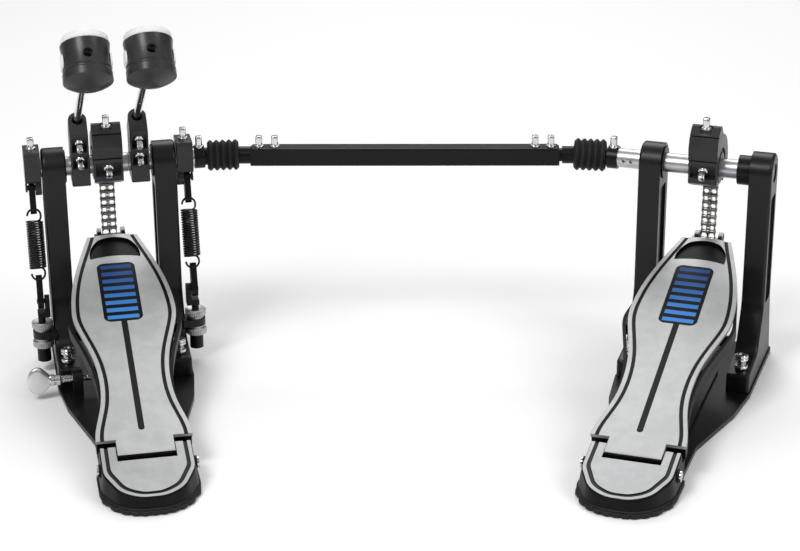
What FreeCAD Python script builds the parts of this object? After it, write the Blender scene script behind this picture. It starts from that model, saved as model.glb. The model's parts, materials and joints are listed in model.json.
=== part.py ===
import FreeCAD, Part
import math
import os

# Double bass drum pedal, in millimetres.
# +X runs along the link shaft from the main pedal to the slave pedal, +Y points at the drum, +Z up.
# The origin is on the floor under the middle of the main pedal's axle.
# Each pedal is drawn in its own frame: x along its axle, y towards the drum, z up from the floor.

V = FreeCAD.Vector
X_AXIS = V(1, 0, 0)
Z_AXIS = V(0, 0, 1)

# Layout of the two pedals and the link shaft
AXLE_HEIGHT = 167.5
MAIN_YAW = 12.6
SLAVE_YAW = -17.8
MAIN_REACH = 94.4
SLAVE_REACH = 98.3
SHAFT_SPAN = 302.8

# Clearances
RUN_GAP = 0.05
SEAT_GAP = 0.02
FREE_GAP = 0.4
PIVOT_GAP = 0.7
OVERRUN = 1.0

# Axles
AXLE_RADIUS = 7.8
SPIGOT_RADIUS = 5.0
SPIGOT_LENGTH = 17.0
AXLE_SPLIT = 15.6
SPLIT_GAP = 0.5
CROSS_HOLE_RADIUS = 1.6
CROSS_HOLE_PITCH = 6.0

# Towers
TOWER_INNER = 36.0
TOWER_WIDTH = 18.3
TOWER_TOP_RADIUS = 16.0
TOWER_STEM_FRONT = 17.0
TOWER_STEM_BACK = 15.0
TOWER_FLARE_HEIGHT = 58.0
TOWER_FOOT_HEIGHT = 24.0
TOWER_FOOT_REACH = 72.0
TOWER_FOOT_BACK = 26.0
TOWER_TOE_HEIGHT = 19.0
TOWER_ROUND = 14.0
TOWER_EDGE_ROUND = 2.5
TOWER_RECESS_DEPTH = 2.2
TOWER_RECESS_MARGIN = 6.0
BEARING_RADIUS = 12.0
BEARING_LIP = 1.2
BEARING_LIP_RADIUS = 13.2
COLLAR_RADIUS = 12.0
COLLAR_WIDTH = 9.6

# Base plates
BASE_THICKNESS = 4.0
BASE_HALF = 55.5
BASE_BACK = 30.0
BASE_SHOULDER = 70.0
BASE_CORNER = 112.0
BASE_CORNER_HALF = 50.5
BASE_NECK = 178.0
BASE_NECK_HALF = 34.0
BASE_ROUND = 16.0
BASE_SMALL_ROUND = 5.0
BASE_RIB_HEIGHT = 2.6
BASE_RIB_WIDTH = 9.0
BASE_RIB_PLACE = 19.0
BASE_RIB_FRONT = 36.0

# Footboards, drawn flat: x across, y along from the hinge, z up from the hinge axis
HINGE_HEIGHT = 15.0
TOE_REACH = 11.446
BOARD_SLOPE = 16.3
BOARD_TOP = 8.7
BOARD_LENGTH = 275.0
BOARD_PLATE = 3.0
BOARD_SKIRT = 9.5
BOARD_SKIN = 2.4
BOARD_WALL = 2.8
BOARD_HALF = 41.0
BOARD_SHOULDER = 22.9
BOARD_SKIRT_GROWTH = 5.0
BOARD_TUCK = 0.5
TONGUE_HALF = 21.4
TONGUE_THICKNESS = 5.0
TOE_BOW = 2.5
TOE_PANEL_SETBACK = 30.5
TOE_PANEL_MARGIN = 1.6
TOE_PANEL_HALF = 20.5
TOE_PANEL_DEPTH = 2.6
LINE_INSET = 3.4
LINE_WIDTH = 2.9
LINE_DEPTH = 0.7
BOARD_RIB = 2.4
BOARD_RIB_PITCH = 45.0
# Half widths of the silver top as shares of its largest, against shares of its length from the hinge
BOARD_LENGTH_SHARES = (1.0, 0.945, 0.86, 0.75, 0.66, 0.61, 0.55, 0.44, 0.33, 0.22, 0.15, 0.115, 0.0833)
BOARD_WIDTH_SHARES = (0.5, 0.615, 0.78, 0.94, 1.0, 0.995, 0.915, 0.735, 0.66, 0.715, 0.82, 0.865, 0.88)
# How much of the skirt's growth shows beyond the silver at the same places
BOARD_SKIRT_SHARES = (0.0, 0.1, 0.1, 0.15, 0.45, 0.9, 1.0, 0.9, 0.6, 0.3, 0.1, 0.05, 0.0)

# Heel blocks
HINGE_SETBACK = BOARD_LENGTH * math.cos(math.radians(BOARD_SLOPE)) - TOE_REACH
HINGE_PIN_RADIUS = 2.5
KNUCKLE_RADIUS = 5.0
RIVET_RADIUS = 4.2
RIVET_HEIGHT = 1.4
HEEL_ROOT = 15.1
HEEL_BEND_REACH = 15.5
HEEL_MIDDLE_REACH = 37.0
HEEL_REACH = 45.0
HEEL_START = HINGE_SETBACK - HEEL_ROOT
HEEL_BEND = HINGE_SETBACK + HEEL_BEND_REACH
HEEL_MIDDLE = HINGE_SETBACK + HEEL_MIDDLE_REACH
HEEL_FRONT = HINGE_SETBACK + HEEL_REACH
HEEL_HALF = 34.3
HEEL_MIDDLE_HALF = 24.0
HEEL_FRONT_HALF = 10.0
HEEL_TOP = 24.5
HEEL_DROP = 13.1
HEEL_SKIRT = 2.0
HEEL_SKIRT_FRONT = 2.0
HEEL_FLOOR = 5.0
HEEL_ROUND = 24.0
HEEL_TONGUE_SEAT = 14.0
HEEL_PLATE = 1.6
HEEL_PLATE_INSET = 0.7
PAD_OVERHANG = 1.2
PAD_BUMP_RADIUS = 3.2
PAD_BUMPS = 11
SLOT_LIP = 1.6

# Cams, with places measured from the axle
CAM_WIDTH = 23.6
CAM_CENTRE = -1.0
CAM_FLANGE_RADIUS = 27.5
CAM_CHANNEL_WIDTH = 14.6
CAM_TOP = 40.0
CAM_FRONT = 21.0
CAM_BOTTOM = 15.0
CAM_GROOVE = 1.2
CAM_GROOVED_CORNERS = (2, 4)
CAM_SIDE_RECESS = 1.5
CAM_BOSS_RADIUS = 12.5
# Outline of the cam's front as shares of its front reach and of its top height
CAM_DEPTH_SHARES = (0.24, -0.19, -0.84, -1.0, -0.93, -0.9, -0.81, -0.3)
CAM_HEIGHT_SHARES = (0.95, 1.0, 0.76, 0.5, 0.25, 0.235, -0.24, -0.375)

# Double-strand roller chain, quarter-inch pitch
CHAIN_PITCH = 6.35
CHAIN_STEP_ANGLE = 16.0
CHAIN_WRAP_LINKS = 3
CHAIN_TOE_RISE = 5.5
STRAND_SPACING = 6.4
ROLLER_RADIUS = 1.65
ROLLER_WIDTH = 3.1
CHAIN_PIN_RADIUS = 1.1
CHAIN_PLATE = 0.6
CHAIN_PLATE_HALF = 2.7
CHAIN_GAP = 0.1
CHAIN_MIDDLE_PLATE = 1.5
ANCHOR_PIN_RADIUS = 1.05
END_PIN_RADIUS = 1.5
END_PIN_GAP = 1.45
END_PIN_HALF = 13.0
CHAIN_LEAN = 2.4
TOE_EAR_INNER = 8.2
TOE_EAR_WIDTH = 3.4
TOE_EAR_RADIUS = 6.0

# Beater holders, with places measured from the axle
HOLDER_WIDTH = 14.8
HOLDER_LEFT = -23.2
HOLDER_RIGHT = 25.0
HOLDER_FRONT = 15.0
HOLDER_BACK = 13.5
HOLDER_TOP = 46.0
HOLDER_BOTTOM = 14.0
HOLDER_FACET = 38.0
HOLDER_ROUND = 4.0
HOLDER_SCREWS = (8.5, 22.5)
SCREW_POCKET_RADIUS = 5.4
SCREW_POCKET_DEPTH = 3.5

# Beaters
ROD_RADIUS = 3.0
ROD_LEAN = 49.0
ROD_SIDE_LEAN = 3.0
ROD_MOUTH_Y = -4.0
ROD_MOUTH_Z = 40.0
ROD_REACH = 108.0
ROD_TAIL = 26.0
HEAD_RADIUS = 19.3
HEAD_NEAR = 17.6
HEAD_FAR = 13.5
HEAD_DOME = 5.0
HEAD_WAIST = 0.9
HEAD_GROOVE = 1.1
HEAD_GROOVE_PLACE = 9.4
HEAD_PLUG_RADIUS = 7.0
HEAD_PLUG_DEPTH = 1.4
FELT_RADIUS = 18.5
FELT_DEPTH = 9.5
FELT_CROWN = 4.5
ROD_HOLE_RADIUS = 3.9
ROD_HOLE_DEPTH = 5.0

# Spring rockers, springs and tension bolts
ROCKER_INNER = 55.3
ROCKER_WIDTH = 13.0
ROCKER_TOP = 17.0
ROCKER_BOTTOM = 9.2
ROCKER_HALF = 13.0
ROCKER_ROUND = 3.0
ROCKER_ARM_WIDTH = 5.0
ROCKER_ARM_HALF = 6.5
ROCKER_PIN_REACH = 15.5
ROCKER_PIN_RADIUS = 2.2
ROCKER_PIN_HEAD = 1.6
ROCKER_PIN_HEAD_RADIUS = 3.6
TENSION_SETBACK = 27.0
YOKE_PIN_HEIGHT = 62.0
TENSION_DEPTH = AXLE_HEIGHT - YOKE_PIN_HEIGHT
LINK_WIDTH = 5.0
HANGER_RADIUS = 5.2
HANGER_REACH = 17.0
HANGER_TIP_RADIUS = 4.7
HOOK_HOLE_RADIUS = 2.5
HOOK_SEAT = 0.5
SPRING_WIRE_RADIUS = 0.75
SPRING_RADIUS = 6.3
SPRING_PITCH = 2.0
SPRING_HOOK_LENGTH = 9.7
EYE_REACH = 17.0
EYE_TIP_RADIUS = 4.7
EYE_RADIUS = 6.4
EYE_SEAT_GAP = 0.35
EYE_SLOT_RISE = 2.1
EYE_SLOT_RADIUS = 3.6
YOKE_PIN_RADIUS = 2.0
YOKE_ARM = 4.0
YOKE_HALF = 5.0
YOKE_DROP = 9.0
YOKE_BASE = 4.0
YOKE_GAP = 0.6
TENSION_ROD_RADIUS = 3.0
NUT_RADIUS = 8.6
NUT_HEIGHT = 8.0
NUT_KNURL = 0.6
NUT_RIDGES = 20
LUG_HEIGHT = 6.0
LUG_BOTTOM = 30.5
LUG_RADIUS = 8.0
CAP_RADIUS = 5.6
CAP_LENGTH = 12.5

# Fasteners
KEY_FLANGE_RADIUS = 4.3
KEY_FLANGE = 1.8
KEY_SQUARE = 5.6
KEY_POST = 7.5
SPUR_PLACE_X = 45.6
SPUR_PLACE_Y = 60.0
SPUR_HEAD_RADIUS = 5.2
SPUR_HEAD = 5.0
SPUR_NECK_RADIUS = 3.2
SPUR_NECK = 4.0
SPUR_COLLAR = 3.2
SPUR_SEAT = 20.5
SPUR_TIP = 5.0
SPUR_TIP_LIFT = 1.0

# Hoop clamp on the main pedal
CLAMP_REACH = 62.0
CLAMP_PLATE_HALF = 30.0
CLAMP_SEAT_INNER = 13.0
CLAMP_SEAT_RISE = 1.0
CLAMP_SEAT_SETBACK = 2.0
CLAMP_JAW_HALF = 12.0
CLAMP_PIVOT_Y = 14.0
CLAMP_PIVOT_Z = 19.0
CLAMP_PIVOT_RADIUS = 3.0
CLAMP_NOSE_Y = 60.0
CLAMP_NOSE_Z = 22.0
CLAMP_NOSE_THICKNESS = 7.0
CLAMP_TAIL_Y = 96.0
CLAMP_JAW_THICKNESS = 9.0
CLAMP_CHEEK = 5.0
CLAMP_CHEEK_RADIUS = 8.0
WING_SETBACK = 85.0
WING_HEIGHT = 16.5
WING_SCREW_RADIUS = 3.0
WING_SCREW_TIP = 6.0
WING_BOSS_INNER = 36.0
WING_BOSS_WIDTH = 8.0
WING_BOSS_HALF = 8.0
WING_START = 58.0
WING_LENGTH = 22.0
WING_HALF = 12.0
WING_THICKNESS = 4.5
WING_NECK_RADIUS = 4.6

# Universal joints, boots and the link shaft
FORK_RADIUS = 7.2
FORK_EAR_RADIUS = 8.2
FORK_EAR_INNER = 4.5
FORK_EAR_HALF = 2.9
FORK_THROAT = 10.0
FORK_HUB_RADIUS = 9.4
FORK_HUB_START = 15.6
FORK_HUB_LENGTH = 8.5
FORK_SPIGOT_RADIUS = 4.5
FORK_SPIGOT = 14.0
CROSS_HALF = 4.1
CROSS_THICKNESS = 2.6
CROSS_PIN_RADIUS = 1.7
CROSS_PIN_HALF = 7.9
CROSS_LOOSE = 0.5
BOOT_HALF = 13.0
BOOT_GAP = 0.25
BOOT_WALL = 1.0
BOOT_RIBS = 5
BOOT_RIB_HEIGHT = 3.0
BOOT_LAND_SHARE = 0.2
TUBE_START = 23.0
TUBE_END = 25.5
TUBE_SQUARE = 15.0
TUBE_ROUND = 1.6
TUBE_BORE = 5.6
TUBE_SCREW_PLACES = (7.0, 20.0)
TUBE_NOTCH_RADIUS = 3.0
STUB_SEAT = 24.0
SLIDE_ROD = 150.0

# Shares of a corner's or an end's size that rounds and insets take
BOLT_CORNER_SHARE = 0.88
CROWN_SHARE = 0.97
RIB_ROUND_SHARE = 0.45
WING_ROUND_SHARE = 0.8
RIM_SHARE = 0.93
PLATE_CORNER_SHARE = 0.42
HOOK_SHARE = 0.86
HOOK_LEAD_SHARE = 0.25
HEEL_MIDDLE_SHARE = 0.8
TOE_SIDE_WIDTH_SHARE = 0.92
TOE_SIDE_LENGTH_SHARE = 0.5
TOE_TOP_WIDTH_SHARE = 0.62
TOE_TOP_LENGTH_SHARE = 0.86
TOE_BOW_SHARE = 0.11


def rounded_wire(points, radii):
    """Closed wire through points, with each corner rounded by its radius."""
    count = len(points)
    starts = []
    ends = []
    arcs = []
    for index in range(count):
        corner = points[index]
        before = (points[index - 1] - corner).normalize()
        after = (points[(index + 1) % count] - corner).normalize()
        half = before.getAngle(after) / 2
        radius = radii[index]
        trim = radius / math.tan(half)
        starts.append(corner + before * trim)
        ends.append(corner + after * trim)
        middle = None
        if radius > 0:
            inward = (before + after).normalize()
            middle = corner + inward * (radius / math.sin(half) - radius)
        arcs.append(middle)
    edges = []
    for index in range(count):
        if arcs[index] is not None:
            edges.append(Part.Arc(starts[index], arcs[index], ends[index]).toShape())
        following = starts[(index + 1) % count]
        if (following - ends[index]).Length > SEAT_GAP / 10:
            edges.append(Part.LineSegment(ends[index], following).toShape())
    return Part.Wire(edges)


def side_slab(outline, radii, left, right):
    """Solid with an outline of (y, z) places, from x = left to x = right."""
    wire = rounded_wire([V(left, y, z) for y, z in outline], radii)
    return Part.Face(wire).extrude(V(right - left, 0, 0))


def plan_slab(outline, radii, bottom, top):
    """Solid with an outline of (x, y) places, from z = bottom to z = top."""
    wire = rounded_wire([V(x, y, bottom) for x, y in outline], radii)
    return Part.Face(wire).extrude(V(0, 0, top - bottom))


def mirrored(half):
    """Whole outline from its right half, given as (x, y) places."""
    return list(half) + [(-x, y) for x, y in reversed(half)]


def block(low, high):
    """Box between two corners."""
    size = high - low
    return Part.makeBox(size.x, size.y, size.z, low)


def rod(start, end, radius):
    """Round bar between two points."""
    run = end - start
    return Part.makeCylinder(radius, run.Length, start, run)


def bar_x(left, right, radius, y, z):
    """Round bar along x."""
    return rod(V(left, y, z), V(right, y, z), radius)


def turned(shape, centre, axis, angle):
    """Copy of a shape, turned about an axis through a point."""
    copy = shape.copy()
    copy.rotate(centre, axis, angle)
    return copy


def shifted(shape, step):
    """Copy of a shape, moved by a step."""
    copy = shape.copy()
    copy.translate(step)
    return copy


def key_bolt(seat, direction):
    """Square-headed key bolt standing on its round flange."""
    half = KEY_SQUARE / 2
    flange = Part.makeCylinder(KEY_FLANGE_RADIUS, KEY_FLANGE)
    post = block(V(-half, -half, KEY_FLANGE), V(half, half, KEY_FLANGE + KEY_POST))
    corner = Part.makeCylinder(half * math.sqrt(2) * BOLT_CORNER_SHARE, KEY_FLANGE + KEY_POST)
    bolt = flange.fuse(post.common(corner))
    bolt.Placement = FreeCAD.Placement(seat, FreeCAD.Rotation(Z_AXIS, direction))
    return bolt


def tower_outline(margin):
    """Side outline of a tower, drawn in by a margin."""
    top = AXLE_HEIGHT + TOWER_TOP_RADIUS - margin
    reach = TOWER_TOP_RADIUS - margin
    outline = [
        (-TOWER_FOOT_REACH + margin, BASE_THICKNESS + margin),
        (-TOWER_FOOT_REACH + margin, TOWER_TOE_HEIGHT - margin / 2),
        (-TOWER_FOOT_REACH / 2, TOWER_FOOT_HEIGHT - margin / 2),
        (-TOWER_STEM_FRONT + margin, TOWER_FLARE_HEIGHT),
        (-reach, top),
        (reach, top),
        (TOWER_STEM_BACK - margin, TOWER_FLARE_HEIGHT),
        (TOWER_FOOT_BACK - margin, BASE_THICKNESS + margin),
    ]
    crown = reach * CROWN_SHARE
    radii = [0, TOWER_EDGE_ROUND, TOWER_ROUND, TOWER_ROUND * 2, crown, crown, TOWER_ROUND, 0]
    return outline, radii


def tower(side, lug):
    """Upright casting with a bearing seat, a foot for the spur and, on the main pedal, a spring lug."""
    inner = side * TOWER_INNER
    outer = side * (TOWER_INNER + TOWER_WIDTH)
    outline, radii = tower_outline(0)
    solid = side_slab(outline, radii, inner, outer)
    rims = [edge for edge in solid.Edges if is_rim(edge, outer)]
    solid = solid.makeFillet(TOWER_EDGE_ROUND, rims)
    margin = TOWER_RECESS_MARGIN
    low = TOWER_FLARE_HEIGHT
    high = AXLE_HEIGHT - BEARING_LIP_RADIUS - margin
    recess = [
        (-TOWER_STEM_FRONT + margin, low),
        (-TOWER_STEM_FRONT + margin, high),
        (TOWER_STEM_BACK - margin, high),
        (TOWER_STEM_BACK - margin, low),
    ]
    rounds = [margin / 2] * len(recess)
    for face, step in ((inner, 1), (outer, -1)):
        sunk = face + side * step * TOWER_RECESS_DEPTH
        past = face - side * step * OVERRUN
        solid = solid.cut(side_slab(recess, rounds, min(sunk, past), max(sunk, past)))
    if lug:
        solid = solid.fuse(spring_lug(side))
    bore_start = min(inner, outer) - OVERRUN
    bore_end = max(inner, outer) + OVERRUN
    seat = bar_x(bore_start, bore_end, BEARING_RADIUS + SEAT_GAP, 0, AXLE_HEIGHT)
    solid = solid.cut(seat)
    spur_x = side * SPUR_PLACE_X
    foot = V(spur_x, -SPUR_PLACE_Y, 0)
    hole = Part.makeCylinder(SPUR_NECK_RADIUS + SEAT_GAP, TOWER_FLARE_HEIGHT, foot)
    seat = foot + V(0, 0, SPUR_SEAT)
    spot_face = Part.makeCylinder(SPUR_HEAD_RADIUS + FREE_GAP, TOWER_FLARE_HEIGHT, seat)
    return solid.cut(hole.fuse(spot_face))


def is_rim(edge, face_x):
    """True for an upper edge that lies in the tower's outer face."""
    ends = [vertex.Point for vertex in edge.Vertexes]
    flat = all(abs(point.x - face_x) < SEAT_GAP for point in ends)
    return flat and min(point.z for point in ends) > BASE_THICKNESS + SEAT_GAP


def spring_x(side):
    """Place across the pedal of a spring's middle."""
    return side * (ROCKER_INNER + ROCKER_ARM_WIDTH + FREE_GAP + LINK_WIDTH / 2)


def spring_lug(side):
    """Lug on a tower's outer face that the tension bolt passes through."""
    centre = spring_x(side)
    wall = side * (TOWER_INNER + TOWER_WIDTH - TOWER_RECESS_DEPTH)
    low, high = sorted((wall, centre))
    arm = block(
        V(low, -TENSION_SETBACK - LUG_RADIUS, LUG_BOTTOM),
        V(high, -TENSION_SETBACK + LUG_RADIUS, LUG_BOTTOM + LUG_HEIGHT),
    )
    foot = V(centre, -TENSION_SETBACK, LUG_BOTTOM)
    eye = Part.makeCylinder(LUG_RADIUS, LUG_HEIGHT, foot)
    hole = Part.makeCylinder(TENSION_ROD_RADIUS + SEAT_GAP, LUG_HEIGHT + 2 * OVERRUN, foot - V(0, 0, OVERRUN))
    return arm.fuse(eye).cut(hole)


def bearing(side, collar):
    """Flanged bearing ring in a tower, with a stop collar on the inner side where asked."""
    inner = side * (TOWER_INNER - BEARING_LIP)
    outer = side * (TOWER_INNER + TOWER_WIDTH)
    low, high = sorted((inner, outer))
    ring = bar_x(low, high, BEARING_RADIUS, 0, AXLE_HEIGHT)
    lip_low, lip_high = sorted((inner, side * TOWER_INNER))
    ring = ring.fuse(bar_x(lip_low, lip_high, BEARING_LIP_RADIUS, 0, AXLE_HEIGHT))
    if collar:
        end = side * (TOWER_INNER - BEARING_LIP - COLLAR_WIDTH)
        low = min(low, end)
        high = max(high, end)
        start, stop = sorted((inner, end))
        ring = ring.fuse(bar_x(start, stop, COLLAR_RADIUS, 0, AXLE_HEIGHT))
    bore = bar_x(low - OVERRUN, high + OVERRUN, AXLE_RADIUS + RUN_GAP, 0, AXLE_HEIGHT)
    return ring.cut(bore)


def base_plate(clamp):
    """Stamped base plate with raised ribs, and on the main pedal the hoop clamp's seat and bearings."""
    half = [
        (BASE_HALF, BASE_BACK),
        (BASE_HALF, -BASE_SHOULDER),
        (BASE_CORNER_HALF, -BASE_CORNER),
        (BASE_NECK_HALF, -BASE_NECK),
        (BASE_NECK_HALF, -HEEL_START),
    ]
    radii = [BASE_SMALL_ROUND, BASE_ROUND, BASE_SMALL_ROUND, BASE_ROUND * 2, 0]
    plate = plan_slab(mirrored(half), radii + radii[::-1], 0, BASE_THICKNESS)
    for side in (-1, 1):
        place = side * BASE_RIB_PLACE
        rib = [
            (place - BASE_RIB_WIDTH / 2, -BASE_RIB_FRONT),
            (place + BASE_RIB_WIDTH / 2, -BASE_RIB_FRONT),
            (place + BASE_RIB_WIDTH / 2, -HEEL_START + HEEL_TONGUE_SEAT + BASE_RIB_WIDTH * 2),
            (place - BASE_RIB_WIDTH / 2, -HEEL_START + HEEL_TONGUE_SEAT + BASE_RIB_WIDTH * 2),
        ]
        rounds = [BASE_RIB_WIDTH * RIB_ROUND_SHARE] * len(rib)
        plate = plate.fuse(plan_slab(rib, rounds, BASE_THICKNESS / 2, BASE_THICKNESS + BASE_RIB_HEIGHT))
    for side in (-1, 1):
        hole = Part.makeCylinder(
            SPUR_NECK_RADIUS + SEAT_GAP,
            BASE_THICKNESS + 2 * OVERRUN,
            V(side * SPUR_PLACE_X, -SPUR_PLACE_Y, -OVERRUN),
        )
        plate = plate.cut(hole)
    if clamp:
        plate = plate.fuse(clamp_seat()).removeSplitter()
        plate = plate.cut(clamp_bores())
    return plate.removeSplitter()


def clamp_seat():
    """Plate with two hoop seats, cheeks for the jaw's pivot and the wing screw's boss."""
    seat_half = [(CLAMP_PLATE_HALF, BASE_BACK - OVERRUN), (CLAMP_PLATE_HALF, CLAMP_REACH)]
    radii = [0, BASE_ROUND / 2, BASE_ROUND / 2, 0]
    solid = plan_slab(mirrored(seat_half), radii, 0, BASE_THICKNESS)
    for side in (-1, 1):
        seat = [
            (side * CLAMP_SEAT_INNER, BASE_BACK + CLAMP_SEAT_SETBACK),
            (side * CLAMP_PLATE_HALF, BASE_BACK + CLAMP_SEAT_SETBACK),
            (side * CLAMP_PLATE_HALF, CLAMP_REACH),
            (side * CLAMP_SEAT_INNER, CLAMP_REACH),
        ]
        solid = solid.fuse(plan_slab(seat, [0, 0, BASE_ROUND / 2, 0], 0, BASE_THICKNESS + CLAMP_SEAT_RISE))
        inner = side * (CLAMP_JAW_HALF + FREE_GAP)
        outer = side * (CLAMP_JAW_HALF + FREE_GAP + CLAMP_CHEEK)
        low, high = sorted((inner, outer))
        cheek = [
            (CLAMP_PIVOT_Y - CLAMP_CHEEK_RADIUS * 2, BASE_THICKNESS / 2),
            (CLAMP_PIVOT_Y - CLAMP_CHEEK_RADIUS, CLAMP_PIVOT_Z + CLAMP_CHEEK_RADIUS),
            (CLAMP_PIVOT_Y + CLAMP_CHEEK_RADIUS, CLAMP_PIVOT_Z + CLAMP_CHEEK_RADIUS),
            (CLAMP_PIVOT_Y + CLAMP_CHEEK_RADIUS * 2, BASE_THICKNESS / 2),
        ]
        rounds = [0, CLAMP_CHEEK_RADIUS / 2, CLAMP_CHEEK_RADIUS / 2, 0]
        solid = solid.fuse(side_slab(cheek, rounds, low, high))
    boss = [
        (-WING_SETBACK - WING_BOSS_HALF, BASE_THICKNESS / 2),
        (-WING_SETBACK - WING_BOSS_HALF, WING_HEIGHT + WING_BOSS_HALF),
        (-WING_SETBACK + WING_BOSS_HALF, WING_HEIGHT + WING_BOSS_HALF),
        (-WING_SETBACK + WING_BOSS_HALF, BASE_THICKNESS / 2),
    ]
    rounds = [0, WING_BOSS_HALF * CROWN_SHARE, WING_BOSS_HALF * CROWN_SHARE, 0]
    return solid.fuse(side_slab(boss, rounds, -WING_BOSS_INNER - WING_BOSS_WIDTH, -WING_BOSS_INNER))


def clamp_bores():
    """Holes for the jaw's pivot and the wing screw."""
    reach = CLAMP_JAW_HALF + FREE_GAP + CLAMP_CHEEK + OVERRUN
    pivot = bar_x(-reach, reach, CLAMP_PIVOT_RADIUS + RUN_GAP, CLAMP_PIVOT_Y, CLAMP_PIVOT_Z)
    start = -WING_BOSS_INNER - WING_BOSS_WIDTH - OVERRUN
    end = -WING_BOSS_INNER + OVERRUN
    screw = bar_x(start, end, WING_SCREW_RADIUS + RUN_GAP, -WING_SETBACK, WING_HEIGHT)
    return pivot.fuse(screw)


def hoop_clamp_jaw():
    """Rocking jaw: its nose presses the drum hoop, its tail is lifted by the wing screw's tip."""
    tail_top = WING_HEIGHT + WING_SCREW_RADIUS + FREE_GAP + CLAMP_JAW_THICKNESS
    tail_low = WING_HEIGHT + WING_SCREW_RADIUS + FREE_GAP
    outline = [
        (-CLAMP_TAIL_Y, tail_low),
        (-CLAMP_TAIL_Y, tail_top),
        (CLAMP_PIVOT_Y, CLAMP_PIVOT_Z + CLAMP_JAW_THICKNESS),
        (CLAMP_NOSE_Y - CLAMP_NOSE_THICKNESS, CLAMP_NOSE_Z + CLAMP_JAW_THICKNESS),
        (CLAMP_NOSE_Y, CLAMP_NOSE_Z + CLAMP_NOSE_THICKNESS),
        (CLAMP_NOSE_Y, CLAMP_NOSE_Z - CLAMP_NOSE_THICKNESS),
        (CLAMP_NOSE_Y - CLAMP_NOSE_THICKNESS, CLAMP_NOSE_Z - CLAMP_NOSE_THICKNESS),
        (CLAMP_NOSE_Y - 2 * CLAMP_NOSE_THICKNESS, CLAMP_NOSE_Z),
        (CLAMP_PIVOT_Y, CLAMP_PIVOT_Z - CLAMP_JAW_THICKNESS / 2),
        (CLAMP_PIVOT_Y - 2 * CLAMP_JAW_THICKNESS, tail_low),
    ]
    small = CLAMP_JAW_THICKNESS / 4
    radii = [0, small, small, small, small, small, small, small, small, small]
    jaw = side_slab(outline, radii, -CLAMP_JAW_HALF, CLAMP_JAW_HALF)
    reach = CLAMP_JAW_HALF + FREE_GAP + CLAMP_CHEEK
    return jaw.fuse(bar_x(-reach, reach, CLAMP_PIVOT_RADIUS, CLAMP_PIVOT_Y, CLAMP_PIVOT_Z))


def hoop_clamp_screw():
    """Wing screw that enters from the player's left and lifts the jaw's tail."""
    y = -WING_SETBACK
    z = WING_HEIGHT
    tip = -CLAMP_JAW_HALF + WING_SCREW_TIP
    screw = bar_x(-WING_START, tip, WING_SCREW_RADIUS, y, z)
    neck = bar_x(-WING_START - WING_NECK_RADIUS, -WING_START + WING_NECK_RADIUS, WING_NECK_RADIUS, y, z)
    end = -WING_START - WING_LENGTH
    wing = [
        (-WING_START, -WING_NECK_RADIUS),
        (-WING_START - WING_LENGTH / 3, -WING_HALF),
        (end, -WING_HALF),
        (end, WING_HALF),
        (-WING_START - WING_LENGTH / 3, WING_HALF),
        (-WING_START, WING_NECK_RADIUS),
    ]
    radii = [0, WING_HALF / 3, WING_HALF * WING_ROUND_SHARE, WING_HALF * WING_ROUND_SHARE, WING_HALF / 3, 0]
    wire = rounded_wire([V(x, y - WING_THICKNESS / 2, z + rise) for x, rise in wing], radii)
    blade = Part.Face(wire).extrude(V(0, WING_THICKNESS, 0))
    return screw.fuse([neck, blade]).removeSplitter()


def heel_outline(grow, front_grow, start):
    """Right half of the heel's outline, grown sideways and towards the player."""
    corner = HEEL_MIDDLE_SHARE
    return [
        (HEEL_HALF + grow, -start),
        (HEEL_HALF + grow, -HEEL_BEND - front_grow / 2),
        (HEEL_MIDDLE_HALF + grow * corner, -HEEL_MIDDLE - front_grow * corner),
        (HEEL_FRONT_HALF + grow / 2, -HEEL_FRONT - front_grow),
    ]


def heel_radii(grow):
    """Corner radii of the whole heel outline when it is grown sideways."""
    half = [0] + [HEEL_ROUND + grow] * 3
    return half + half[::-1]


def heel_height(y):
    """Height of the heel's sloping top at a place along the pedal."""
    return HEEL_TOP - HEEL_DROP * (-HEEL_START - y) / (HEEL_FRONT - HEEL_START)


def sloped_wire(grow, start):
    """Heel outline, grown all round, laid on the sloping top."""
    half = heel_outline(grow, grow, start)
    points = [V(x, y, heel_height(y)) for x, y in mirrored(half)]
    return rounded_wire(points, heel_radii(grow))


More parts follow.
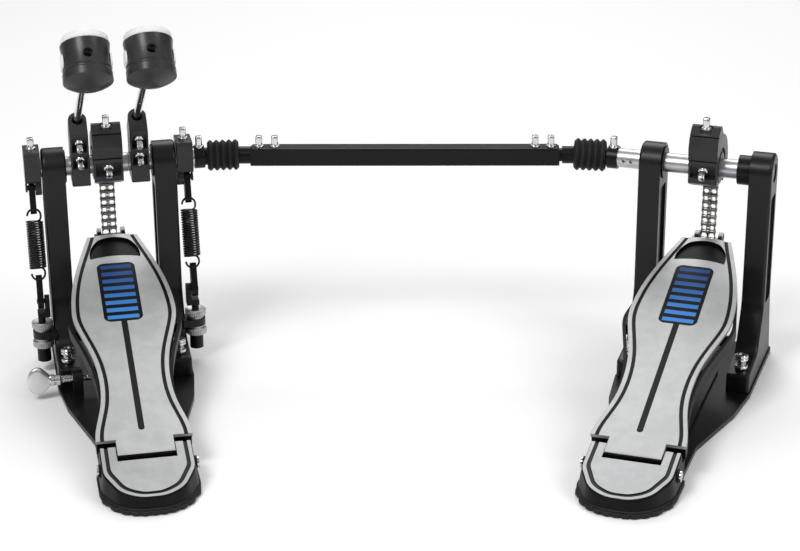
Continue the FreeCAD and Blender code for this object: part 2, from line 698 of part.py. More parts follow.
def heel_block():
    """Heel casting: flat top, sloping skirt, border line, and a slot for the footboard's tongue."""
    foot_half = heel_outline(HEEL_SKIRT, HEEL_SKIRT_FRONT, HEEL_START)
    foot = rounded_wire([V(x, y, HEEL_FLOOR) for x, y in mirrored(foot_half)], heel_radii(HEEL_SKIRT))
    top = sloped_wire(0, HEEL_START)
    solid = Part.makeLoft([foot, top], True, True)
    seat_low = V(-BASE_NECK_HALF, -HEEL_START, BASE_THICKNESS)
    seat_high = V(BASE_NECK_HALF, -HEEL_START + HEEL_TONGUE_SEAT, HINGE_HEIGHT)
    solid = solid.fuse(block(seat_low, seat_high))
    lift = V(0, 0, HEEL_PLATE)
    plate = Part.Face(sloped_wire(-HEEL_PLATE_INSET, HEEL_START))
    solid = solid.fuse(shifted(plate, -lift).extrude(lift * 2))
    line = Part.Face(sloped_wire(-LINE_INSET, HEEL_START - OVERRUN))
    centre = Part.Face(sloped_wire(-LINE_INSET - LINE_WIDTH, HEEL_START - OVERRUN))
    sink = lift - V(0, 0, LINE_DEPTH)
    deep = lift * 2
    solid = solid.cut(shifted(line, sink).extrude(deep).cut(shifted(centre, sink).extrude(deep)))
    for side in (-1, 1):
        reach = HEEL_HALF + HEEL_SKIRT
        low, high = sorted((side * TONGUE_HALF, side * reach))
        solid = solid.fuse(bar_x(low, high, KNUCKLE_RADIUS, -HINGE_SETBACK, HINGE_HEIGHT))
    slot_half = TONGUE_HALF + PIVOT_GAP
    lip = -HINGE_SETBACK - SLOT_LIP
    slot_low = V(-slot_half, lip, HINGE_HEIGHT - KNUCKLE_RADIUS - FREE_GAP)
    slot_high = V(slot_half, -HEEL_START + HEEL_TONGUE_SEAT + OVERRUN, HEEL_TOP + HEEL_PLATE + OVERRUN)
    solid = solid.cut(block(slot_low, slot_high))
    solid = solid.cut(bar_x(-slot_half, slot_half, KNUCKLE_RADIUS + FREE_GAP, -HINGE_SETBACK, HINGE_HEIGHT))
    far = HEEL_HALF + HEEL_SKIRT * 2
    return solid.cut(bar_x(-far, far, HINGE_PIN_RADIUS + SEAT_GAP, -HINGE_SETBACK, HINGE_HEIGHT))


def heel_pad():
    """Rubber pad under the heel with a bumpy rim."""
    start = HEEL_START + SPLIT_GAP
    half = heel_outline(HEEL_SKIRT + PAD_OVERHANG, HEEL_SKIRT_FRONT + PAD_OVERHANG, start)
    radii = heel_radii(HEEL_SKIRT + PAD_OVERHANG)
    pad = plan_slab(mirrored(half), radii, 0, HEEL_FLOOR)
    rim = rounded_wire([V(x, y, 0) for x, y in mirrored(half)], radii)
    span = HEEL_HALF + HEEL_SKIRT + PAD_OVERHANG
    for index in range(PAD_BUMPS):
        across = span * RIM_SHARE * (2 * index / (PAD_BUMPS - 1) - 1)
        ray = Part.LineSegment(V(across, -HEEL_BEND, 0), V(across, -HEEL_FRONT * 2, 0)).toShape()
        place = rim.distToShape(ray)[1][0][0]
        foot = V(place.x, place.y + PAD_BUMP_RADIUS / 2, 0)
        pad = pad.fuse(Part.makeCylinder(PAD_BUMP_RADIUS, HEEL_FLOOR - OVERRUN, foot))
    return pad.removeSplitter()


def hinge_pin():
    """Hinge pin with a rivet head at each end."""
    reach = HEEL_HALF + HEEL_SKIRT
    pin = bar_x(-reach, reach, HINGE_PIN_RADIUS, -HINGE_SETBACK, HINGE_HEIGHT)
    for side in (-1, 1):
        low, high = sorted((side * reach, side * (reach + RIVET_HEIGHT)))
        pin = pin.fuse(bar_x(low, high, RIVET_RADIUS, -HINGE_SETBACK, HINGE_HEIGHT))
    return pin


def spur_bolts():
    """Two spur bolts with a grooved head, screwed through the towers' feet."""
    bolts = []
    seat = SPUR_SEAT
    for side in (-1, 1):
        foot = V(side * SPUR_PLACE_X, -SPUR_PLACE_Y, SPUR_TIP_LIFT)
        tip = Part.makeCone(0, SPUR_NECK_RADIUS, SPUR_TIP, foot)
        neck_start = foot + V(0, 0, SPUR_TIP)
        neck = Part.makeCylinder(SPUR_NECK_RADIUS, seat + SPUR_COLLAR + SPUR_NECK - neck_start.z, neck_start)
        collar = Part.makeCylinder(SPUR_HEAD_RADIUS, SPUR_COLLAR, V(foot.x, foot.y, seat))
        head_start = V(foot.x, foot.y, seat + SPUR_COLLAR + SPUR_NECK)
        head = Part.makeCylinder(SPUR_HEAD_RADIUS, SPUR_HEAD, head_start)
        bolts.append(tip.fuse([neck, collar, head]))
    return Part.Compound(bolts)


def board_edge(inset, growth, trim, height):
    """Right edge of the footboard from toe to shoulder, drawn in, grown and trimmed at its ends."""
    points = []
    for along, across, grow in zip(BOARD_LENGTH_SHARES, BOARD_WIDTH_SHARES, BOARD_SKIRT_SHARES):
        points.append(V(BOARD_HALF * across - inset + growth * grow, BOARD_LENGTH * along, height))
    points[0].y = BOARD_LENGTH - trim
    points[-1].y = BOARD_SHOULDER + trim
    return points


def smooth_edge(points):
    """Smooth curve through points."""
    curve = Part.BSplineCurve()
    curve.interpolate(points)
    return curve.toShape()


def board_face(inset, growth, trim, height):
    """Flat face inside the footboard's edge at a height."""
    right = board_edge(inset, growth, trim, height)
    left = [V(-point.x, point.y, point.z) for point in right]
    bow = V(0, right[0].y + TOE_BOW, height)
    edges = [
        Part.Arc(left[0], bow, right[0]).toShape(),
        smooth_edge(right),
        Part.LineSegment(right[-1], left[-1]).toShape(),
        smooth_edge(left),
    ]
    return Part.Face(Part.Wire(Part.__sortEdges__(edges)))


def border_line(side):
    """Cutter for the border line along one edge of the footboard, open at the toe and at the shoulder."""
    base = BOARD_TOP - LINE_DEPTH
    past = -OVERRUN * 2
    outer = board_edge(LINE_INSET, 0, past, base)
    inner = board_edge(LINE_INSET + LINE_WIDTH, 0, past, base)
    outer = [V(side * point.x, point.y, point.z) for point in outer]
    inner = [V(side * point.x, point.y, point.z) for point in inner]
    edges = [
        smooth_edge(outer),
        Part.LineSegment(outer[-1], inner[-1]).toShape(),
        smooth_edge(inner),
        Part.LineSegment(inner[0], outer[0]).toShape(),
    ]
    face = Part.Face(Part.Wire(Part.__sortEdges__(edges)))
    return face.extrude(V(0, 0, LINE_DEPTH + OVERRUN))


def toe_panel():
    """Cutter for the scooped dark panel at the toe, with an arched top and a bowed lower edge."""
    base = BOARD_TOP - TOE_PANEL_DEPTH
    first = BOARD_LENGTH - TOE_PANEL_SETBACK
    length = TOE_PANEL_SETBACK - TOE_PANEL_MARGIN

    def place(across, along):
        return V(TOE_PANEL_HALF * across, first + length * along, base)

    corner = place(1, 0)
    side = place(TOE_SIDE_WIDTH_SHARE, TOE_SIDE_LENGTH_SHARE)
    shoulder = place(TOE_TOP_WIDTH_SHARE, TOE_TOP_LENGTH_SHARE)
    flip = [V(-point.x, point.y, point.z) for point in (corner, side, shoulder)]
    edges = [
        Part.Arc(flip[0], place(0, TOE_BOW_SHARE), corner).toShape(),
        Part.Arc(corner, side, shoulder).toShape(),
        Part.Arc(shoulder, place(0, 1), flip[2]).toShape(),
        Part.Arc(flip[2], flip[1], flip[0]).toShape(),
    ]
    return Part.Face(Part.Wire(edges)).extrude(V(0, 0, TOE_PANEL_DEPTH + OVERRUN))


def footboard(lug_y, lug_z):
    """Footboard casting: top with border lines and toe panel, hollow skirt, tongue and toe ears."""
    plate_base = BOARD_TOP - BOARD_PLATE
    skirt_base = plate_base - BOARD_SKIRT
    solid = board_face(0, 0, 0, plate_base).extrude(V(0, 0, BOARD_PLATE))
    skirt = board_face(BOARD_TUCK, BOARD_SKIRT_GROWTH, BOARD_TUCK, skirt_base)
    solid = solid.fuse(skirt.extrude(V(0, 0, BOARD_SKIRT)))
    inside = BOARD_TUCK + BOARD_WALL
    hollow = board_face(inside, BOARD_SKIRT_GROWTH, inside, skirt_base - OVERRUN)
    hollow = hollow.extrude(V(0, 0, BOARD_SKIRT + OVERRUN + BOARD_PLATE - BOARD_SKIN))
    keep = block(
        V(-BOARD_HALF * 2, BOARD_SHOULDER, skirt_base - OVERRUN),
        V(BOARD_HALF * 2, BOARD_LENGTH - TOE_PANEL_SETBACK - BOARD_WALL, BOARD_TOP),
    )
    hollow = hollow.common(keep)
    ribs = block(V(-BOARD_RIB / 2, BOARD_SHOULDER, skirt_base), V(BOARD_RIB / 2, BOARD_LENGTH, BOARD_TOP))
    for index in range(1, math.floor(BOARD_LENGTH / BOARD_RIB_PITCH)):
        place = BOARD_SHOULDER + index * BOARD_RIB_PITCH
        low = V(-BOARD_HALF * 2, place - BOARD_RIB / 2, skirt_base)
        ribs = ribs.fuse(block(low, V(BOARD_HALF * 2, place + BOARD_RIB / 2, BOARD_TOP)))
    solid = solid.cut(hollow.cut(ribs))
    solid = solid.cut([border_line(-1), border_line(1), toe_panel()])
    tongue = side_slab(
        [
            (BOARD_SHOULDER + BOARD_WALL, BOARD_TOP),
            (KNUCKLE_RADIUS, BOARD_TOP),
            (KNUCKLE_RADIUS / 2, 0),
            (BOARD_SHOULDER + BOARD_WALL, BOARD_TOP - TONGUE_THICKNESS),
        ],
        [0, KNUCKLE_RADIUS / 2, 0, 0],
        -TONGUE_HALF,
        TONGUE_HALF,
    )
    knuckle = bar_x(-TONGUE_HALF, TONGUE_HALF, KNUCKLE_RADIUS, 0, 0)
    solid = solid.fuse([tongue, knuckle])
    solid = solid.fuse(toe_ears(lug_y, lug_z, plate_base))
    bore = TONGUE_HALF + OVERRUN
    solid = solid.cut(bar_x(-bore, bore, HINGE_PIN_RADIUS + RUN_GAP, 0, 0))
    reach = END_PIN_HALF + OVERRUN
    solid = solid.cut(bar_x(-reach, reach, END_PIN_RADIUS + END_PIN_GAP, lug_y, lug_z))
    return solid.removeSplitter()


def toe_ears(lug_y, lug_z, top):
    """Two ears under the toe that hold the chain's end pin."""
    ears = []
    root = min(BOARD_LENGTH - TOE_EAR_RADIUS, lug_y - TOE_EAR_RADIUS)
    foot = min(lug_z, top) - TOE_EAR_RADIUS
    for side in (-1, 1):
        low, high = sorted((side * TOE_EAR_INNER, side * (TOE_EAR_INNER + TOE_EAR_WIDTH)))
        arm = block(V(low, root, foot), V(high, lug_y, max(lug_z, top)))
        ear = arm.fuse(bar_x(low, high, TOE_EAR_RADIUS, lug_y, lug_z)).removeSplitter()
        ears.append(ear)
    return ears


def chain_radius():
    """Radius of the chain's pin circle on the cam."""
    return CHAIN_PITCH / 2 / math.sin(math.radians(CHAIN_STEP_ANGLE / 2))


def wrap_point(index):
    """Pin of the wrapped stretch, counted from the cam's anchor, in (y, z) from the axle."""
    angle = math.radians(CHAIN_STEP_ANGLE * (CHAIN_WRAP_LINKS - index))
    return V(0, chain_radius() * math.cos(angle), chain_radius() * math.sin(angle))


def run_links():
    """Odd count of links from the cam down to the footboard's toe."""
    toe = HINGE_HEIGHT + BOARD_LENGTH * math.sin(math.radians(BOARD_SLOPE)) + CHAIN_TOE_RISE
    return 2 * round(((AXLE_HEIGHT - toe) / CHAIN_PITCH - 1) / 2) + 1


def chain_points():
    """All chain pins at rest, from the cam's anchor to the toe, in (y, z) from the axle."""
    points = [wrap_point(index) for index in range(CHAIN_WRAP_LINKS + 1)]
    lean = math.radians(CHAIN_LEAN)
    step = V(0, -math.sin(lean), -math.cos(lean)) * CHAIN_PITCH
    for _ in range(run_links()):
        points.append(points[-1] + step)
    return points


def link_plate(start, end, left, right):
    """Chain plate round two pins, from x = left to x = right."""
    run = end - start
    along = V(0, run.y, run.z).normalize()
    across = V(0, -along.z, along.y)
    size = CHAIN_PLATE_HALF
    corners = []
    for end_point, sign in ((start, -1), (end, 1)):
        base = V(left, end_point.y, end_point.z)
        cut = size * PLATE_CORNER_SHARE
        corners.append(base + across * (sign * -size))
        corners.append(base + along * (sign * cut) + across * (sign * -size))
        corners.append(base + along * (sign * size) + across * (sign * -cut))
        corners.append(base + along * (sign * size) + across * (sign * cut))
        corners.append(base + along * (sign * cut) + across * (sign * size))
    outline = [corners[1], corners[2], corners[3], corners[4], corners[6], corners[7], corners[8], corners[9]]
    wire = Part.makePolygon(outline + outline[:1])
    return Part.Face(wire).extrude(V(right - left, 0, 0))


def eight_sided(left, right, radius, centre):
    """Eight-sided bar along x, standing for a small turned pin or roller."""
    points = []
    for index in range(8):
        angle = math.radians(22.5 + 45 * index)
        points.append(V(left, centre.y + radius * math.cos(angle), centre.z + radius * math.sin(angle)))
    return Part.Face(Part.makePolygon(points + points[:1])).extrude(V(right - left, 0, 0))


def inner_link(start, end):
    """Roller link: two rollers between two plates, once in each strand."""
    strands = []
    for side in (-1, 1):
        middle = side * STRAND_SPACING / 2
        half = ROLLER_WIDTH / 2
        solid = link_plate(start, end, middle - half - CHAIN_PLATE, middle - half)
        solid = solid.fuse(link_plate(start, end, middle + half, middle + half + CHAIN_PLATE))
        for pin in (start, end):
            solid = solid.fuse(eight_sided(middle - half, middle + half, ROLLER_RADIUS, pin))
        for pin in (start, end):
            reach = half + CHAIN_PLATE + OVERRUN
            solid = solid.cut(eight_sided(middle - reach, middle + reach, CHAIN_PIN_RADIUS + CHAIN_GAP, pin))
        strands.append(solid)
    return strands


def pin_reach():
    """Half length of a chain pin."""
    return STRAND_SPACING / 2 + ROLLER_WIDTH / 2 + 2 * CHAIN_PLATE + CHAIN_GAP * 4


def outer_link(start, end, end_pin):
    """Pin link: pins through two outer plates and a middle plate that both strands share."""
    outside = STRAND_SPACING / 2 + ROLLER_WIDTH / 2 + CHAIN_PLATE + CHAIN_GAP
    solid = link_plate(start, end, -CHAIN_MIDDLE_PLATE / 2, CHAIN_MIDDLE_PLATE / 2)
    for side in (-1, 1):
        low, high = sorted((side * outside, side * (outside + CHAIN_PLATE)))
        solid = solid.fuse(link_plate(start, end, low, high))
    pins = (start, end) if end_pin else (start,)
    for pin in pins:
        solid = solid.fuse(eight_sided(-pin_reach(), pin_reach(), CHAIN_PIN_RADIUS, pin))
    return solid.removeSplitter()


def chain_bend():
    """The two links that bend round the cam: a roller link on the anchor pin, then a pin link."""
    points = chain_points()
    links = inner_link(points[0], points[1])
    hinge = points[2]
    pin = bar_x(-pin_reach(), pin_reach(), CHAIN_PIN_RADIUS, hinge.y, hinge.z)
    links.append(outer_link(points[1], hinge, False).fuse(pin))
    return Part.Compound([raised(link) for link in links])


def chain_run():
    """The rest of the chain, down to the end pin in the footboard's toe."""
    points = chain_points()
    links = []
    for index in range(2, len(points) - 1):
        if index % 2 == 0:
            links.extend(inner_link(points[index], points[index + 1]))
        else:
            links.append(outer_link(points[index], points[index + 1], index + 2 < len(points)))
    hinge = points[2]
    hole = bar_x(-pin_reach(), pin_reach(), CHAIN_PIN_RADIUS + CHAIN_GAP, hinge.y, hinge.z)
    links[:2] = [link.cut(hole) for link in links[:2]]
    end = points[-1]
    end_pin = bar_x(-END_PIN_HALF, END_PIN_HALF, END_PIN_RADIUS, end.y, end.z)
    links[-1] = links[-1].fuse(end_pin).removeSplitter()
    return Part.Compound([raised(link) for link in links])


def raised(shape):
    """Shape moved from the axle's centre to its height over the floor, at the cam."""
    return shifted(shape, V(CAM_CENTRE, 0, AXLE_HEIGHT))


def cam():
    """Chain cam: faceted front, chain channel between two flanges at the back, anchor pin."""
    left = -CAM_WIDTH / 2
    right = CAM_WIDTH / 2
    front = [(CAM_FRONT * y, CAM_TOP * z) for y, z in zip(CAM_DEPTH_SHARES, CAM_HEIGHT_SHARES)]
    radii = [CAM_GROOVE] * len(front)
    solid = side_slab(front[::-1], radii, left, right)
    solid = solid.fuse(bar_x(left, right, CAM_BOTTOM, 0, 0))
    flange = bar_x(left, right, CAM_FLANGE_RADIUS, 0, 0)
    window = side_slab(
        [
            (0, -CAM_BOTTOM),
            (0, CAM_TOP),
            (CAM_FLANGE_RADIUS * 2, CAM_TOP),
            (CAM_FLANGE_RADIUS * 2, -CAM_BOTTOM / 2),
        ],
        [0, 0, 0, 0],
        left,
        right,
    )
    solid = solid.fuse(flange.common(window))
    floor = chain_radius() - CHAIN_PLATE_HALF - FREE_GAP
    half = CAM_CHANNEL_WIDTH / 2
    channel = bar_x(-half, half, CAM_FLANGE_RADIUS * 2, 0, 0).cut(bar_x(-half, half, floor, 0, 0))
    reach = CAM_FLANGE_RADIUS * 3
    anchor = wrap_point(0)
    stop = anchor.z + CHAIN_PLATE_HALF + FREE_GAP * 3
    channel = channel.common(block(V(-half, 0, -reach), V(half, reach, stop)))
    solid = solid.cut(channel)
    for corner in CAM_GROOVED_CORNERS:
        y, z = front[corner]
        solid = solid.cut(bar_x(left, right, CAM_GROOVE / 2, y, z))
    for side in (-1, 1):
        face = side * CAM_WIDTH / 2
        low, high = sorted((face - side * CAM_SIDE_RECESS, face + side * OVERRUN))
        ring = bar_x(low, high, CAM_BOTTOM + CAM_SIDE_RECESS, 0, 0)
        solid = solid.cut(ring.cut(bar_x(low, high, CAM_BOSS_RADIUS, 0, 0)))
    end = right - CAM_SIDE_RECESS
    solid = solid.fuse(bar_x(-end, end, ANCHOR_PIN_RADIUS, anchor.y, anchor.z))
    solid = solid.cut(bar_x(left - OVERRUN, right + OVERRUN, AXLE_RADIUS + SEAT_GAP, 0, 0))
    return raised(solid.removeSplitter())


def holder(centre):
    """Beater holder: a block on the axle with two key screws and a slanting hole for the rod."""
    left = centre - HOLDER_WIDTH / 2
    right = centre + HOLDER_WIDTH / 2
    slope = math.tan(math.radians(HOLDER_FACET))
    crest = HOLDER_BACK / 3
    outline = [
        (-HOLDER_FRONT, -HOLDER_BOTTOM * CROWN_SHARE),
        (-HOLDER_FRONT, HOLDER_TOP - slope * (HOLDER_FRONT + crest)),
        (crest, HOLDER_TOP),
        (HOLDER_BACK, HOLDER_TOP - HOLDER_BACK / 2),
        (HOLDER_BACK, -HOLDER_BOTTOM),
        (-HOLDER_FRONT / 2, -HOLDER_BOTTOM),
    ]
    radii = [HOLDER_ROUND / 2, HOLDER_ROUND / 2, HOLDER_ROUND, HOLDER_ROUND, HOLDER_ROUND, HOLDER_ROUND]
    solid = side_slab(outline, radii, left, right)
    crown = crown_cutter(centre)
    solid = solid.cut(crown)
    for height in HOLDER_SCREWS:
        pocket = rod(
            V(centre, -HOLDER_FRONT - OVERRUN, height),
            V(centre, -HOLDER_FRONT + SCREW_POCKET_DEPTH, height),
            SCREW_POCKET_RADIUS,
        )
        solid = solid.cut(pocket)
    start, direction = rod_line(centre)
    reach = direction * HOLDER_TOP
    solid = solid.cut(rod(start - reach, start + reach, ROD_RADIUS + RUN_GAP))
    solid = solid.cut(bar_x(left - OVERRUN, right + OVERRUN, AXLE_RADIUS + SEAT_GAP, 0, 0))
    return shifted(solid, V(0, 0, AXLE_HEIGHT))


def crown_cutter(centre):
    """What is cut away so that the holder's top is round about the rod."""
    half = HOLDER_WIDTH / 2
    start, direction = rod_line(centre)
    reach = HOLDER_TOP
    keep = Part.makeCylinder(half, reach * 2, start - direction * reach, direction)
    cutter = block(V(-half, 0, -reach), V(half, reach, reach))
    strike = strike_direction()
    cutter.Placement = frame_at(start, strike.cross(direction), strike, direction)
    return cutter.cut(keep)


def frame_at(place, first, second, third):
    """Placement with its axes along three directions."""
    matrix = FreeCAD.Matrix(
        first.x, second.x, third.x, place.x,
        first.y, second.y, third.y, place.y,
        first.z, second.z, third.z, place.z,
        0, 0, 0, 1,
    )
    return FreeCAD.Placement(matrix)


def strike_direction():
    """Direction in which a beater's felt faces."""
    lean = math.radians(ROD_LEAN)
    return V(0, math.cos(lean), math.sin(lean))


def rod_line(centre):
    """Point in the holder's mouth and direction of a beater rod, measured from the axle."""
    lean = math.radians(ROD_LEAN)
    side = math.radians(ROD_SIDE_LEAN)
    direction = V(math.sin(side), -math.sin(lean) * math.cos(side), math.cos(lean) * math.cos(side))
    return V(centre, ROD_MOUTH_Y, ROD_MOUTH_Z), direction


def beater_rod(centre):
    """Bright beater rod, through the holder and into the head."""
    start, direction = rod_line(centre)
    end = start + direction * (ROD_REACH + HEAD_RADIUS - ROD_HOLE_DEPTH)
    return shifted(rod(start - direction * ROD_TAIL, end, ROD_RADIUS), V(0, 0, AXLE_HEIGHT))


def head_placement(centre):
    """Placement of a beater head drawn round the z axis: +z is the felt side, +y the rod's end."""
    start, direction = rod_line(centre)
    place = start + direction * ROD_REACH + V(0, 0, AXLE_HEIGHT)
    strike = strike_direction()
    return frame_at(place, direction.cross(strike), direction, strike)


def beater_head(centre):
    """Black head: domed back, lipped groove, slightly waisted barrel, side plugs and the rod's hole."""
    r = HEAD_RADIUS
    groove = -HEAD_NEAR + HEAD_GROOVE_PLACE
    profile = [
        V(0, 0, -HEAD_NEAR - HEAD_DOME),
        V(r, 0, -HEAD_NEAR + HEAD_GROOVE),
        V(r, 0, groove - HEAD_GROOVE * 2),
        V(r - HEAD_GROOVE, 0, groove - HEAD_GROOVE),
        V(r - HEAD_GROOVE, 0, groove),
        V(r - HEAD_WAIST / 2, 0, groove + HEAD_GROOVE),
        V(r, 0, HEAD_FAR),
        V(0, 0, HEAD_FAR),
    ]
    bulge, drop = dome_middle(r, HEAD_DOME + HEAD_GROOVE)
    waist_middle = V(r - HEAD_WAIST, 0, (groove + HEAD_FAR) / 2)
    edges = [Part.Arc(profile[0], V(bulge, 0, profile[0].z + drop), profile[1]).toShape()]
    for first, second in zip(profile[1:5], profile[2:6]):
        edges.append(Part.LineSegment(first, second).toShape())
    edges.append(Part.Arc(profile[5], waist_middle, profile[6]).toShape())
    edges.append(Part.LineSegment(profile[6], profile[7]).toShape())
    edges.append(Part.LineSegment(profile[7], profile[0]).toShape())
    solid = Part.Face(Part.Wire(edges)).revolve(V(0, 0, 0), Z_AXIS, 360)
    solid = solid.cut(rod(V(0, -r * 2, 0), V(0, r - ROD_HOLE_DEPTH, 0), ROD_RADIUS + SEAT_GAP))
    solid = solid.cut(rod(V(0, r - ROD_HOLE_DEPTH, 0), V(0, r * 2, 0), ROD_HOLE_RADIUS))
    for side in (-1, 1):
        low, high = sorted((side * (r - HEAD_PLUG_DEPTH), side * (r + HEAD_PLUG_DEPTH)))
        solid = solid.cut(bar_x(low, high, HEAD_PLUG_RADIUS, 0, 0))
    solid.Placement = head_placement(centre)
    return solid


def dome_middle(radius, rise):
    """Place half way round a dome's arc: its distance from the axis and its drop from the top."""
    sphere = (radius * radius + rise * rise) / (2 * rise)
    half = math.asin(radius / sphere) / 2
    return sphere * math.sin(half), sphere * (1 - math.cos(half))


def beater_felt(centre):
    """Felt face of a beater and the two round side plugs of the same light stuff."""
    profile = [
        V(0, 0, HEAD_FAR),
        V(FELT_RADIUS, 0, HEAD_FAR),
        V(FELT_RADIUS, 0, HEAD_FAR + FELT_DEPTH - FELT_CROWN),
        V(0, 0, HEAD_FAR + FELT_DEPTH),
    ]
    bulge, drop = dome_middle(FELT_RADIUS, FELT_CROWN)
    crown = V(bulge, 0, HEAD_FAR + FELT_DEPTH - drop)
    edges = [
        Part.LineSegment(profile[0], profile[1]).toShape(),
        Part.LineSegment(profile[1], profile[2]).toShape(),
        Part.Arc(profile[2], crown, profile[3]).toShape(),
        Part.LineSegment(profile[3], profile[0]).toShape(),
    ]
    felt = Part.Face(Part.Wire(edges)).revolve(V(0, 0, 0), Z_AXIS, 360)
    pieces = [felt]
    for side in (-1, 1):
        inner = side * (HEAD_RADIUS - HEAD_PLUG_DEPTH)
        low, high = sorted((inner, side * (HEAD_RADIUS - SEAT_GAP)))
        pieces.append(bar_x(low, high, HEAD_PLUG_RADIUS - SEAT_GAP, 0, 0))
    group = Part.Compound(pieces)
    group.Placement = head_placement(centre)
    return group


def spring_direction():
    """Unit vector down the spring at rest, from the axle's centre to the tension bolt's yoke."""
    return V(0, -TENSION_SETBACK, -TENSION_DEPTH).normalize()


def spring_frame(side):
    """Placement that lays z down the spring from the rocker pin, with x along the axle."""
    down = spring_direction()
    place = V(spring_x(side), 0, AXLE_HEIGHT) + down * ROCKER_PIN_REACH
    return frame_at(place, X_AXIS, down.cross(X_AXIS), down)


def rocker(side):
    """Spring rocker: a block clamped on the axle with an arm and the spring's pin."""
    inner = side * ROCKER_INNER
    outer = side * (ROCKER_INNER + ROCKER_WIDTH)
    low, high = sorted((inner, outer))
    half = ROCKER_HALF
    outline = [(-half, -ROCKER_BOTTOM), (-half, ROCKER_TOP), (half, ROCKER_TOP), (half, -ROCKER_BOTTOM)]
    solid = side_slab(outline, [ROCKER_ROUND] * len(outline), low, high)
    arm_low, arm_high = sorted((inner, side * (ROCKER_INNER + ROCKER_ARM_WIDTH)))
    reach = ROCKER_ARM_HALF
    arm = side_slab(
        [(-reach, 0), (-reach, -ROCKER_PIN_REACH - reach), (reach, -ROCKER_PIN_REACH - reach), (reach, 0)],
        [0, reach * CROWN_SHARE, reach * CROWN_SHARE, 0],
        arm_low,
        arm_high,
    )
    lean = math.degrees(math.atan2(TENSION_SETBACK, TENSION_DEPTH))
    solid = solid.fuse(turned(arm, V(0, 0, 0), X_AXIS, -lean))
    pin = spring_direction() * ROCKER_PIN_REACH
    pin_low, pin_high = sorted((inner, outer))
    solid = solid.fuse(bar_x(pin_low, pin_high, ROCKER_PIN_RADIUS, pin.y, pin.z))
    head_low, head_high = sorted((outer, outer - side * ROCKER_PIN_HEAD))
    solid = solid.fuse(bar_x(head_low, head_high, ROCKER_PIN_HEAD_RADIUS, pin.y, pin.z))
    solid = solid.cut(bar_x(low - OVERRUN, high + OVERRUN, AXLE_RADIUS + SEAT_GAP, 0, 0))
    return shifted(solid, V(0, 0, AXLE_HEIGHT))


def link_outline(first, second, gap):
    """Face of a link with two round ends, in the plane x = 0, from z = 0 to z = gap."""
    start = Part.makeCylinder(first, LINK_WIDTH, V(-LINK_WIDTH / 2, 0, 0), X_AXIS)
    end = Part.makeCylinder(second, LINK_WIDTH, V(-LINK_WIDTH / 2, 0, gap), X_AXIS)
    tilt = math.asin((first - second) / gap)
    web = [
        (first * math.cos(tilt), first * math.sin(tilt)),
        (second * math.cos(tilt), gap + second * math.sin(tilt)),
        (-second * math.cos(tilt), gap + second * math.sin(tilt)),
        (-first * math.cos(tilt), first * math.sin(tilt)),
    ]
    bridge = side_slab(web, [0, 0, 0, 0], -LINK_WIDTH / 2, LINK_WIDTH / 2)
    return start.fuse([end, bridge]).removeSplitter()


def spring_hanger(side):
    """Teardrop link between the rocker's pin and the spring's upper hook."""
    link = link_outline(HANGER_RADIUS, HANGER_TIP_RADIUS, HANGER_REACH)
    wide = LINK_WIDTH
    link = link.cut(bar_x(-wide, wide, ROCKER_PIN_RADIUS + RUN_GAP, 0, 0))
    link = link.cut(bar_x(-wide, wide, HOOK_HOLE_RADIUS, 0, HANGER_REACH))
    link.Placement = spring_frame(side)
    return link


def eye_depth():
    """Distance down the spring from the rocker's pin to the yoke's pin."""
    return math.hypot(TENSION_SETBACK, TENSION_DEPTH) - ROCKER_PIN_REACH


def spring_eye(side):
    """Teardrop link between the spring's lower hook and the tension bolt's yoke."""
    foot = eye_depth()
    link = link_outline(EYE_TIP_RADIUS, EYE_RADIUS, EYE_REACH)
    link = shifted(link, V(0, 0, foot - EYE_REACH))
    wide = LINK_WIDTH
    link = link.cut(bar_x(-wide, wide, HOOK_HOLE_RADIUS, 0, foot - EYE_REACH))
    link = link.cut(bar_x(-wide, wide, YOKE_PIN_RADIUS + EYE_SEAT_GAP, 0, foot))
    link = link.cut(bar_x(-wide, wide, EYE_SLOT_RADIUS, 0, foot - EYE_SLOT_RISE))
    link.Placement = spring_frame(side)
    return link


def tangent_arc(start, tangent, end):
    """Arc that leaves start along tangent and ends at end."""
    chord = end - start
    reach = chord.Length / 2 / math.cos(tangent.getAngle(chord))
    knee = start + tangent * reach
    middle = (start + end) * (1 / 2)
    rise = knee - middle
    turn = math.atan2(rise.Length, chord.Length / 2)
    top = middle + rise.normalize() * (chord.Length / 2 * math.tan(turn / 2))
    return Part.Arc(start, top, end)


def biarc(start, start_tangent, end, end_tangent):
    """Two arcs that join two points with given tangents."""
    chord = end - start
    both = start_tangent + end_tangent
    bend = 2 * (1 - start_tangent.dot(end_tangent))
    slope = chord.dot(both)
    reach = (math.sqrt(slope * slope + bend * chord.dot(chord)) - slope) / bend
    joint = (start + start_tangent * reach + end - end_tangent * reach) * (1 / 2)
    first = tangent_arc(start, start_tangent, joint)
    second = tangent_arc(end, end_tangent.negative(), joint)
    back = Part.Arc(joint, second.value((second.FirstParameter + second.LastParameter) / 2), end)
    return [first, back]


def spring_turns():
    """Whole turns of the coil that fit between the two hooks."""
    span = eye_depth() - EYE_REACH - HANGER_REACH - 2 * SPRING_HOOK_LENGTH
    return round(span / SPRING_PITCH)


def coil_point(turn, start):
    """Point and tangent of the spring's helix after a number of turns."""
    angle = 2 * math.pi * turn
    climb = SPRING_PITCH / (2 * math.pi)
    point = V(SPRING_RADIUS * math.cos(angle), SPRING_RADIUS * math.sin(angle), start + SPRING_PITCH * turn)
    tangent = V(-SPRING_RADIUS * math.sin(angle), SPRING_RADIUS * math.cos(angle), climb)
    return point, tangent.normalize()


